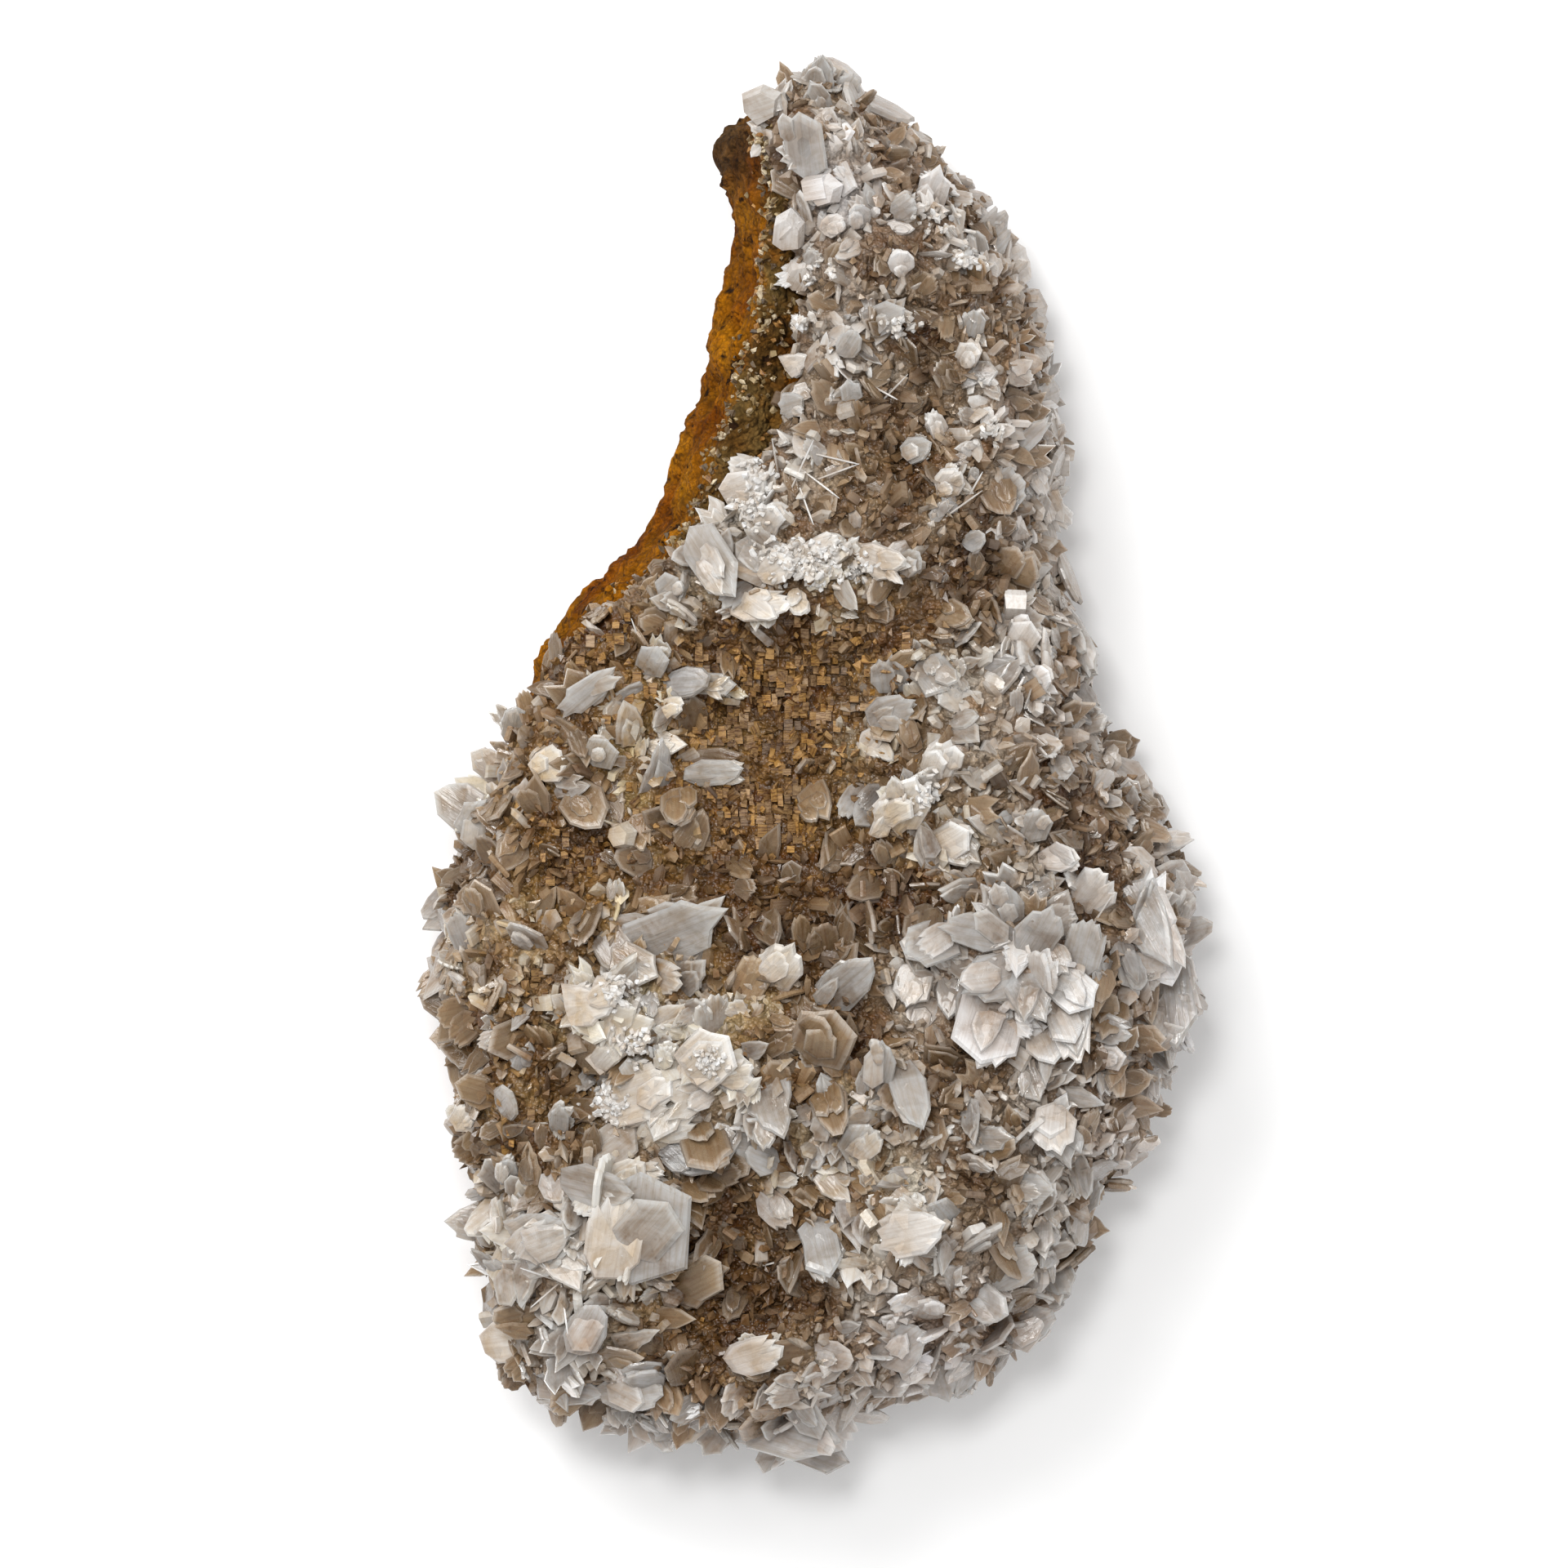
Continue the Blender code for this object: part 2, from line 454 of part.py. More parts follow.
# The matrix.
outline, wall_share = resampled(MATRIX_OUTLINE, MATRIX_RING_POINTS)
rings = [contour(outline, wall_share, level, 5 * k, 0.75) for k, level in enumerate(MATRIX_LEVELS)]
rings[0][:, 2] = 0.9
foot = drawn_in(outline, 14.0)
lifted = np.maximum(foot[:, 1] - 22, 0) * 0.07
rings.insert(0, np.column_stack([foot, lifted]))
for ring in rings[2:]:
    spot, far = nearest_on(SPINE, ring[:, :2])
    out = (ring[:, :2] - spot) / far[:, None]
    for x, y, z, reach, depth in WALL_MARKS:
        near = np.exp(-(np.linalg.norm(ring - (x, y, z), axis=1) / reach) ** 2)
        ring[:, :2] -= out * (near * depth)[:, None]
matrix_rim = Rim(rings[-1], wall_share)
matrix_points, matrix_faces = lump(
    rings, MATRIX_GRID, 21, lambda x, y: matrix_height(matrix_rim, x, y), lambda x, y: max(y - 22, 0) * 0.07
)
matrix = mesh_object("matrix", matrix_points, matrix_faces)

# The lump of the crust, with its lower edge and the side towards the ochre wall tucked into the matrix.
outline, wall_share = resampled(CRUST_OUTLINE, CRUST_RING_POINTS)
rings = [contour(outline, wall_share, level, 40 + 5 * k, 1.0) for k, level in enumerate(CRUST_LEVELS)]
crust_rim = Rim(rings[-1], wall_share)
crust = mesh_object(
    "gypsum_crust",
    *lump(rings, CRUST_GRID, 33, lambda x, y: jagged_height(crust_rim, x, y), lambda x, y: 9.0),
)

# Its crystals, well rooted in the lump.
pieces = []
taken = []
for kind, x, y, length, width, thick, heading, tip_up, roll in CRYSTALS:
    centre = (x, y, crust_height(crust_rim, x, y) + 0.15 * thick + 0.12 * length * math.sin(math.radians(tip_up)))
    pieces.append(crystal(kind, length, width, thick, centre, heading, tip_up, roll))
    taken.append((x, y, 0.4 * length))
rng = random.Random(7)
while len(taken) < len(CRYSTALS) + SMALL_CRYSTALS:
    x, y = rng.uniform(-33, 33), rng.uniform(-58, 60)
    inside, _, wall = crust_rim.look(x, y)
    if inside < 1.2 or any(math.hypot(x - a, y - b) < r + 2.0 for a, b, r in taken):
        continue
    length, tip_up = rng.uniform(4.2, 6.4), rng.uniform(24, 58)
    width, thick = length * rng.uniform(0.5, 0.75), length * rng.uniform(0.32, 0.45)
    centre = (x, y, crust_height(crust_rim, x, y) + 0.15 * length * math.sin(math.radians(tip_up)))
    kind = rng.choice("LLPB" if inside > 4 else "LP")
    pieces.append(crystal(kind, length, width, thick, centre, rng.uniform(0, 360), tip_up, rng.uniform(-20, 20)))
    taken.append((x, y, 1.6))
rim_ring = crust_rim.ring
for k in range(RIM_CRYSTALS):
    at = int((k + rng.uniform(0.1, 0.9)) * len(rim_ring) / RIM_CRYSTALS) % len(rim_ring)
    if wall_share[at] > 0.75:
        continue
    x, y, z = rim_ring[at]
    spot, far = nearest_on(SPINE, np.array([(x, y)]))
    heading = math.degrees(math.atan2(y - spot[0, 1], x - spot[0, 0])) + rng.uniform(-35, 35)
    length = rng.uniform(4.2, 6.2)
    centre = (x - 0.25 * (x - spot[0, 0]) / far[0], y - 0.25 * (y - spot[0, 1]) / far[0], z + rng.uniform(-0.5, 4))
    pieces.append(
        crystal(rng.choice("LP"), length, length * 0.62, length * 0.42, centre, heading, rng.uniform(0, 40), rng.uniform(-60, 60))
    )
crust = with_booleans(crust, [("UNION", mesh_object("crystals", *batch)) for batch in batches(pieces)])

# What the matrix fills, and a thin gap round it, comes out of the crust.
swollen = mesh_object("room", matrix_points, matrix_faces)
for vertex in swollen.data.vertices:
    vertex.co += vertex.normal * GAP * 1.25 * MM
crust = keep_largest(with_booleans(crust, [("DIFFERENCE", swollen)]))

# Both are placed with the middle of their common box over the origin and the flat spot at height zero.
corners = np.array([v.co for obj in (matrix, crust) for v in obj.data.vertices])
shift = -(corners.min(0) + corners.max(0)) / 2
shift[2] = -corners[:, 2].min()
for obj in (matrix, crust):
    obj.data.transform(Matrix.Translation(shift))
matrix.data.materials.append(material("ochre rock", (0.42, 0.2, 0.03), 0.92))
crust.data.materials.append(material("gypsum", (0.82, 0.76, 0.66), 0.3, 0.5))
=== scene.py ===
import math
import random

import bmesh
import bpy
import numpy as np
from mathutils import Euler, Matrix, Vector, noise
from mathutils.bvhtree import BVHTree
from mathutils.geometry import delaunay_2d_cdt


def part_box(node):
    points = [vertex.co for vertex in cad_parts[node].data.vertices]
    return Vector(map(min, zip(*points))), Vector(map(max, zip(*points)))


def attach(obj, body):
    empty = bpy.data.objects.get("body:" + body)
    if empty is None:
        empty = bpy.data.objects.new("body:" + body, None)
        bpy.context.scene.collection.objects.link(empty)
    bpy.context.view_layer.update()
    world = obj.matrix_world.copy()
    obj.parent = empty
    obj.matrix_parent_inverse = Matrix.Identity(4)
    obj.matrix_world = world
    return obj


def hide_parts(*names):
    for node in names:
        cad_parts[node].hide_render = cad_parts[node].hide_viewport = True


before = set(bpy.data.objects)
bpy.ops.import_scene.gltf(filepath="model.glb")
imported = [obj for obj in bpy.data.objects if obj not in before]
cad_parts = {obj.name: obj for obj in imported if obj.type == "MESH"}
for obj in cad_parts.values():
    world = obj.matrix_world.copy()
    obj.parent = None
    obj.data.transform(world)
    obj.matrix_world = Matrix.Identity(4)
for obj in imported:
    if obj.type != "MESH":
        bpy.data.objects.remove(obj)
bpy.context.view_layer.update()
mm = 0.001
noise.seed_set(5)  # without it, noise vectors come from the clock

# The outlines and forms are laid out in millimetres, +X right and +Y up in the photograph.
# designCorner is where the matrix's lowest corner lies in that layout.
designCorner = np.array((-31.2158, -53.6769, 0.0))
shift = np.array(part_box("matrix")[0]) / mm - designCorner
print("frame loaded, layout shifted by", shift.round(2))


def rgb(r, g, b):
    # Screen colour, 0 to 255, as the linear values that Blender uses.
    return tuple(round(((v / 255 + 0.055) / 1.055) ** 2.4 if v > 10 else v / 3295, 4) for v in (r, g, b))


# ---- layout shared with the solids: outline, contours, hollows and ridges of the crust
crust = {
    "ringPoints": 76,
    "grid": 4.4,
    "matrixTop": 19.5,
    "height": 8.0,
    "roundOpen": 13.0,
    "roundWall": 6.5,
    "levels": [((6.0, 5.0), (14.0, 7.0)), ((7.0, 1.6), (17.5, 4.0)), ((11.0, 0.0), (21.8, 0.4))],
    "spine": [(4, 54), (6, 40), (7, 28), (5, 14), (0, 0), (-1, -20), (-4, -36), (-5, -42)],
    "outline": [
        (0.0, [
            (0.4, 60.4), (3.4, 58.6), (6.8, 56.4), (9.6, 54.2), (12.2, 50.9), (15.3, 48.6), (17.3, 45.6),
            (18.6, 42.4), (19.9, 38.6), (20.8, 34.4), (21.9, 30.8), (22.2, 26.6), (21.3, 22.4), (21.2, 16.6),
            (22.6, 12.4), (24.4, 9.0), (24.2, 5.4), (25.2, 1.2), (28.2, -1.3), (31.0, -4.8), (32.2, -8.5),
            (33.2, -12.2), (32.8, -17.5), (32.6, -22.0), (32.2, -27.0), (30.6, -31.7), (28.2, -35.2),
            (25.2, -39.2), (23.2, -41.4), (22.6, -45.2), (20.6, -48.5), (17.4, -51.4), (14.6, -53.4),
            (11.2, -55.7), (5.6, -55.9), (3.0, -58.6), (1.2, -60.9), (-2.2, -61.0), (-6.0, -59.2),
            (-9.6, -58.0), (-13.0, -59.0), (-16.6, -58.0), (-20.4, -57.2), (-23.2, -56.2),
        ]),
        (0.5, [
            (-25.4, -53.6), (-28.4, -52.6), (-29.0, -48.6), (-28.6, -43.4), (-29.0, -39.1), (-30.2, -35.0),
            (-31.6, -29.6), (-32.4, -24.0), (-33.3, -18.6), (-32.8, -13.0), (-31.2, -7.0), (-28.8, -2.0),
            (-26.4, 3.2),
        ]),
        (1.0, [
            (-23.6, 8.5), (-19.9, 12.7), (-15.5, 16.5), (-11.3, 19.0), (-8.3, 23.8), (-4.9, 27.7),
            (-2.9, 32.0), (-3.0, 38.4), (-3.5, 44.7), (-4.2, 49.0), (-6.0, 52.4), (-6.2, 55.4), (-4.6, 58.2),
            (-2.2, 60.0),
        ]),
    ],
    "hollows": [
        (-4.6, 3.2, 13.0, 11.0, 4.6), (8.1, 31.3, 5.0, 6.0, 2.8), (13.0, 15.8, 6.0, 5.0, 2.4),
        (-8.1, -44.7, 8.0, 7.0, 5.0), (-19.7, -27.8, 4.2, 4.2, 3.4), (11.3, -20.0, 4.0, 4.0, 2.8),
        (-14.4, 10.9, 4.0, 4.0, 2.2), (-25.0, -37.0, 3.2, 3.2, 2.0), (24.0, -12.5, 4.5, 5.0, 3.0),
        (-22.0, -9.0, 6.0, 6.0, 1.6),
    ],
    "ridges": [
        ([(-7.4, 13.0), (-2.0, 13.6), (3.0, 17.0), (8.1, 16.5)], 3.4, 2.2),
        ([(-11.0, 18.0), (-7.0, 14.0)], 3.6, 1.8),
        ([(-19.0, -21.5), (-9.0, -26.5), (0.4, -25.7), (11.0, -30.0)], 5.0, 2.8),
        ([(12.0, -15.5), (17.0, -18.0), (22.0, -17.0)], 5.0, 3.0),
        ([(27.0, -14.0), (30.0, -22.0)], 4.0, 2.2),
        ([(-23.0, -38.5), (-17.0, -40.0)], 5.0, 3.4),
        ([(4.0, -41.0), (11.0, -40.0)], 4.5, 2.6),
        ([(8.0, -5.0), (12.0, -1.0)], 4.0, 2.4),
        ([(-18.0, 4.0), (-14.0, 3.0)], 3.0, 1.2),
        ([(-1.8, 40.0), (-1.4, 32.0)], 3.0, 1.4),
        ([(8.0, 48.5), (11.5, 45.0)], 4.0, 1.8),
    ],
}


def resample(sections, count):
    points = np.array([p for _, row in sections for p in row])
    shares = np.array([share for share, row in sections for _ in row])
    points, shares = np.vstack([points, points[:1]]), np.append(shares, shares[0])
    along = np.append(0, np.cumsum(np.linalg.norm(np.diff(points, axis=0), axis=1)))
    at = np.linspace(0, along[-1], count, endpoint=False)
    ring = np.column_stack([np.interp(at, along, points[:, k]) for k in (0, 1)])
    share = np.interp(at, along, shares)
    share = sum(np.roll(share, k) for k in range(-2, 3)) / 5
    return ring[::-1], share[::-1]


def nearestOn(path, points):
    path = np.array(path, float)
    best, found = np.full(len(points), np.inf), np.zeros((len(points), 2))
    for a, b in zip(path[:-1], path[1:]):
        t = np.clip((points - a) @ (b - a) / ((b - a) @ (b - a)), 0, 1)
        spot = a + t[:, None] * (b - a)
        far = np.linalg.norm(points - spot, axis=1)
        closer = far < best
        best[closer], found[closer] = far[closer], spot[closer]
    return found, best


def rough(x, y, z, size, seed):
    return noise.noise(Vector((x / size + seed, y / size, z / size))) * 1.6


def contour(outline, share, level, seed, amount):
    (zOpen, insetOpen), (zWall, insetWall) = level
    z = zOpen + (zWall - zOpen) * share
    spot, far = nearestOn(crust["spine"], outline)
    step = np.minimum(insetOpen + (insetWall - insetOpen) * share, 0.66 * far)
    ring = outline + (spot - outline) * (step / far)[:, None]
    spot, far = nearestOn(crust["spine"], ring)
    out = (ring - spot) / far[:, None]
    push = np.array([rough(*p, h, 3.2, seed) for p, h in zip(ring, z)]) * amount
    lift = np.array([rough(*p, h, 4.0, seed + 7) for p, h in zip(ring, z)]) * amount * 0.6
    return np.column_stack([ring + out * push[:, None], z + lift])


class Rim:
    def __init__(self, ring, share):
        self.ring, self.share, self.ends = ring, share, np.roll(ring, -1, axis=0)

    def look(self, x, y):
        # Distance inside the rim, rim height and share of wall there.
        p = np.array((x, y))
        a, b = self.ring[:, :2], self.ends[:, :2]
        t = np.clip(((p - a) * (b - a)).sum(1) / ((b - a) ** 2).sum(1), 0, 1)
        far = np.linalg.norm(p - (a + t[:, None] * (b - a)), axis=1)
        k = int(far.argmin())
        crosses = (a[:, 1] > y) != (b[:, 1] > y)
        with np.errstate(divide="ignore", invalid="ignore"):
            cut = a[:, 0] + (y - a[:, 1]) * (b[:, 0] - a[:, 0]) / (b[:, 1] - a[:, 1])
        inside = (crosses & (x < cut)).sum() % 2 == 1
        height = self.ring[k, 2] + t[k] * (self.ends[k, 2] - self.ring[k, 2])
        return far[k] * (1 if inside else -1), height, self.share[k]


def hollowDepth(x, y):
    return sum(d * math.exp(-(((x - cx) / rx) ** 2 + ((y - cy) / ry) ** 2)) for cx, cy, rx, ry, d in crust["hollows"])


def ridgeHeight(x, y):
    spot = np.array([(x, y)], float)
    return sum(h * math.exp(-((nearestOn(path, spot)[1][0] / r) ** 2)) for path, r, h in crust["ridges"])


def crustHeight(x, y):
    inside, edge, wall = crustRim.look(x, y)
    inside = max(inside, 0)
    reach = crust["roundOpen"] + (crust["roundWall"] - crust["roundOpen"]) * wall
    share = math.sqrt(1 - (1 - min(inside / reach, 1)) ** 2)
    relief = ridgeHeight(x, y) - hollowDepth(x, y) + rough(x, y, 0, 5.5, 11) * 1.1
    return edge + (crust["matrixTop"] + crust["height"] - edge) * share + relief * min(inside / 4.5, 1)


def jaggedHeight(x, y):
    inside = crustRim.look(x, y)[0]
    return crustHeight(x, y) + rough(x, y, 0, 1.7, 29) * 1.25 * min(max(inside, 0) / 4, 1)


def filledTop(ring, grid, seed, height):
    rng = random.Random(seed)
    low, high = ring[:, :2].min(0), ring[:, :2].max(0)
    rim = Rim(ring, np.zeros(len(ring)))
    flat = [Vector(p[:2]) for p in ring]
    row, y = 0, low[1]
    while y < high[1]:
        x = low[0] + (row % 2) * grid / 2
        while x < high[0]:
            px, py = x + rng.uniform(-0.22, 0.22) * grid, y + rng.uniform(-0.22, 0.22) * grid
            if rim.look(px, py)[0] > grid * 0.45:
                flat.append(Vector((px, py)))
            x += grid
        y += grid * 0.866
        row += 1
    count = len(ring)
    _, _, faces, origin, _, _ = delaunay_2d_cdt(flat, [], [list(range(count))], 1, 1e-6)
    back = [o[0] for o in origin]
    return [(p.x, p.y, height(p.x, p.y)) for p in flat[count:]], [[back[i] for i in face] for face in faces]


outline, wallShare = resample(crust["outline"], crust["ringPoints"])
rings = [contour(outline, wallShare, level, 40 + 5 * k, 1.0) for k, level in enumerate(crust["levels"])]
crustRim = Rim(rings[-1], wallShare)


def crustLump():
    count = len(outline)
    points = [tuple(p) for ring in rings for p in ring]
    faces = []
    for level in range(len(rings) - 1):
        for k in range(count):
            a, b = level * count + k, level * count + (k + 1) % count
            c, d = b + count, a + count
            faces += [(a, b, c), (a, c, d)] if (k + level) % 2 else [(a, b, d), (b, c, d)]
    top = (len(rings) - 1) * count
    for ring, first, up, heightAt, step in ((rings[-1], top, True, jaggedHeight, crust["grid"]), (rings[0], 0, False, lambda x, y: 9.0, 9.0)):
        more, made = filledTop(ring, step, 33, heightAt)
        start = len(points) - count
        for face in made:
            face = [first + i if i < count else start + i for i in face]
            faces.append(tuple(face) if up else tuple(reversed(face)))
        points += more
    return points, faces


# ---- node groups
def newGroup(name, inputs, outputs):
    group = bpy.data.node_groups.new(name, "ShaderNodeTree")
    for label, kind, value in inputs:
        socket = group.interface.new_socket(label, in_out="INPUT", socket_type=kind)
        if value is not None:
            socket.default_value = value
    for label, kind in outputs:
        group.interface.new_socket(label, in_out="OUTPUT", socket_type=kind)
    return group, group.nodes.new("NodeGroupInput"), group.nodes.new("NodeGroupOutput")


def addNode(tree, kind, links=(), **values):
    # Makes a node, sets its properties and unlinked inputs, and links (input, socket) pairs.
    node = tree.nodes.new(kind)
    for key, value in values.items():
        if key.startswith("in_"):
            node.inputs[int(key[3:])].default_value = value
        else:
            setattr(node, key, value)
    for key, source in links:
        tree.links.new(source, node.inputs[key])
    return node


def ramp(tree, source, stops):
    node = addNode(tree, "ShaderNodeValToRGB", [(0, source)])
    while len(node.color_ramp.elements) < len(stops):
        node.color_ramp.elements.new(0.5)
    for element, (at, colour) in zip(node.color_ramp.elements, stops):
        element.position = at
        element.color = (*colour, 1) if isinstance(colour, tuple) else (colour, colour, colour, 1)
    return node.outputs[0]


def mixColour(tree, factor, a, b, blend="MIX"):
    node = tree.nodes.new("ShaderNodeMix")
    node.data_type, node.blend_type = "RGBA", blend
    for socket, value in ((node.inputs[0], factor), (node.inputs[6], a), (node.inputs[7], b)):
        if hasattr(value, "links"):
            tree.links.new(value, socket)
        else:
            socket.default_value = (*value, 1) if isinstance(value, tuple) else value
    return node.outputs[2]


def mathNode(tree, operation, a, b=None):
    node = addNode(tree, "ShaderNodeMath", operation=operation)
    for socket, value in ((node.inputs[0], a), (node.inputs[1], b)):
        if hasattr(value, "links"):
            tree.links.new(value, socket)
        elif value is not None:
            socket.default_value = value
    return node.outputs[0]


def makeVeilGroup():
    # Cleavage streaks along a crystal and cloudy veils in it, from the crystal's own coordinates.
    group, inside, outside = newGroup(
        "gypsumVeil",
        [("Streak Scale", "NodeSocketFloat", 1.0), ("Cloud Scale", "NodeSocketFloat", 1.0)],
        [("Streak", "NodeSocketFloat"), ("Cloud", "NodeSocketFloat"), ("Speck", "NodeSocketFloat"), ("Height", "NodeSocketFloat")],
    )
    grain = addNode(group, "ShaderNodeAttribute", attribute_name="grain").outputs["Vector"]
    stretch = addNode(group, "ShaderNodeMapping", [(0, grain)])
    stretch.inputs["Scale"].default_value = (0.16, 3.2, 1.6)
    streak = addNode(group, "ShaderNodeTexNoise", [("Vector", stretch.outputs[0]), ("Scale", inside.outputs[0])])
    streak.inputs["Detail"].default_value = 4
    streak.inputs["Roughness"].default_value = 0.62
    # The clouds run on from crystal to crystal, the streaks belong to each.
    where = addNode(group, "ShaderNodeTexCoord").outputs["Object"]
    cloud = addNode(group, "ShaderNodeTexNoise", [("Vector", where), ("Scale", inside.outputs[1])])
    cloud.inputs["Detail"].default_value = 5
    cloud.inputs["Roughness"].default_value = 0.6
    cloud.inputs["Distortion"].default_value = 0.6
    sharpStreak = ramp(group, streak.outputs["Fac"], [(0.46, 0.0), (0.62, 1.0)])
    sharpCloud = ramp(group, cloud.outputs["Fac"], [(0.36, 0.0), (0.66, 1.0)])
    # Small dark inclusions, bunched where the crystal is clouded least.
    bubbles = addNode(group, "ShaderNodeTexVoronoi", [("Vector", where)])
    bubbles.inputs["Scale"].default_value = 1500.0
    rough = addNode(group, "ShaderNodeTexNoise", [("Vector", where)])
    rough.inputs["Scale"].default_value = 2600.0
    rough.inputs["Detail"].default_value = 3
    dots = ramp(group, bubbles.outputs["Distance"], [(0.1, 1.0), (0.3, 0.0)])
    bunched = ramp(group, cloud.outputs["Fac"], [(0.4, 1.0), (0.56, 0.0)])
    speck = mathNode(group, "MULTIPLY", dots, bunched)
    height = mathNode(group, "ADD", streak.outputs["Fac"], mathNode(group, "MULTIPLY", cloud.outputs["Fac"], 0.5))
    height = mathNode(group, "ADD", height, mathNode(group, "MULTIPLY", rough.outputs["Fac"], 0.35))
    for k, source in enumerate((sharpStreak, sharpCloud, speck, height)):
        group.links.new(source, outside.inputs[k])
    return group


def makeEarthGroup():
    # Grains, dark specks and stains of the rock and of the crust's dirty roots.
    group, inside, outside = newGroup(
        "earthGrain",
        [("Scale", "NodeSocketFloat", 1.0), ("Speck Amount", "NodeSocketFloat", 0.5)],
        [("Stain", "NodeSocketFloat"), ("Speck", "NodeSocketFloat"), ("Grain", "NodeSocketFloat"), ("Height", "NodeSocketFloat")],
    )
    where = addNode(group, "ShaderNodeTexCoord").outputs["Object"]
    scaled = addNode(group, "ShaderNodeVectorMath", [(0, where), (3, inside.outputs[0])], operation="SCALE").outputs[0]
    noises = []
    for scale, detail, distortion in ((180.0, 4, 0.4), (620.0, 6, 0.8), (2400.0, 4, 0.0)):
        noises.append(
            addNode(group, "ShaderNodeTexNoise", [("Vector", scaled)], in_2=scale, in_3=detail, in_8=distortion).outputs["Fac"]
        )
    # Grains in two sizes, each with a brightness of its own.
    lows, gaps = [], []
    for scale in (950.0, 2100.0):
        cell = addNode(group, "ShaderNodeTexVoronoi", [("Vector", scaled)])
        cell.inputs["Scale"].default_value = scale
        lows.append(addNode(group, "ShaderNodeSeparateColor", [(0, cell.outputs["Color"])]).outputs[0])
        gaps.append(cell.outputs["Distance"])
    stain = ramp(group, noises[0], [(0.34, 0.0), (0.66, 1.0)])
    threshold = mathNode(group, "SUBTRACT", 0.86, mathNode(group, "MULTIPLY", inside.outputs[1], 0.4))
    speck = mathNode(group, "MULTIPLY", mathNode(group, "SUBTRACT", noises[1], threshold), 14.0)
    speck = addNode(group, "ShaderNodeClamp", [(0, speck)]).outputs[0]
    coarse = mathNode(group, "SUBTRACT", lows[0], mathNode(group, "MULTIPLY", gaps[0], 0.8))
    fine = mathNode(group, "SUBTRACT", lows[1], mathNode(group, "MULTIPLY", gaps[1], 0.8))
    height = mathNode(group, "ADD", coarse, mathNode(group, "MULTIPLY", fine, 0.5))
    height = mathNode(group, "ADD", height, mathNode(group, "MULTIPLY", noises[1], 0.8))
    height = mathNode(group, "SUBTRACT", height, mathNode(group, "MULTIPLY", speck, 0.35))
    grain = mathNode(group, "ADD", mathNode(group, "MULTIPLY", coarse, 0.42), mathNode(group, "MULTIPLY", fine, 0.34))
    grain = mathNode(group, "ADD", grain, mathNode(group, "MULTIPLY", noises[2], 0.5))
    for k, source in enumerate((stain, speck, grain, height)):
        group.links.new(source, outside.inputs[k])
    return group


veilGroup = makeVeilGroup()
earthGroup = makeEarthGroup()


def placeGroup(tree, group, **values):
    node = tree.nodes.new("ShaderNodeGroup")
    node.node_tree = group
    for key, value in values.items():
        node.inputs[key.replace("_", " ")].default_value = value
    return node


def newMaterial(name):
    made = bpy.data.materials.new(name)
    made.use_nodes = True
    tree = made.node_tree
    return made, tree, tree.nodes["Principled BSDF"], tree.nodes["Material Output"]


def gypsumMaterial(name, look):
    made, tree, shader, out = newMaterial(name)
    tone = addNode(tree, "ShaderNodeAttribute", attribute_name="tone").outputs["Color"]
    veil = placeGroup(tree, veilGroup, Streak_Scale=look["streakScale"], Cloud_Scale=look["cloudScale"])
    tinted = mixColour(tree, look["tint"], look["glass"], tone)
    clouded = mixColour(tree, mathNode(tree, "MULTIPLY", veil.outputs["Cloud"], look["cloud"]), tinted, look["veil"])
    darker = mixColour(tree, 1.0, clouded, look["streakTint"], "MULTIPLY")
    colour = mixColour(tree, mathNode(tree, "MULTIPLY", veil.outputs["Streak"], look["streak"]), clouded, darker)
    dirt = mixColour(tree, 1.0, colour, look["dirt"], "MULTIPLY")
    colour = mixColour(tree, mathNode(tree, "MULTIPLY", veil.outputs["Speck"], look["speck"]), colour, dirt)
    tree.links.new(colour, shader.inputs["Base Color"])
    roughness = mathNode(tree, "ADD", mathNode(tree, "MULTIPLY", veil.outputs["Cloud"], look["roughSpread"]), look["rough"])
    tree.links.new(roughness, shader.inputs["Roughness"])
    shader.inputs["Transmission Weight"].default_value = look["transmission"]
    shader.inputs["IOR"].default_value = 1.52
    bump = addNode(tree, "ShaderNodeBump", [("Height", veil.outputs["Height"])])
    bump.inputs["Strength"].default_value = look["bump"]
    bump.inputs["Distance"].default_value = 0.0002
    tree.links.new(bump.outputs[0], shader.inputs["Normal"])
    absorb = tree.nodes.new("ShaderNodeVolumeAbsorption")
    absorb.inputs["Color"].default_value = (*look["absorb"], 1)
    absorb.inputs["Density"].default_value = look["density"]
    tree.links.new(absorb.outputs[0], out.inputs["Volume"])
    return made


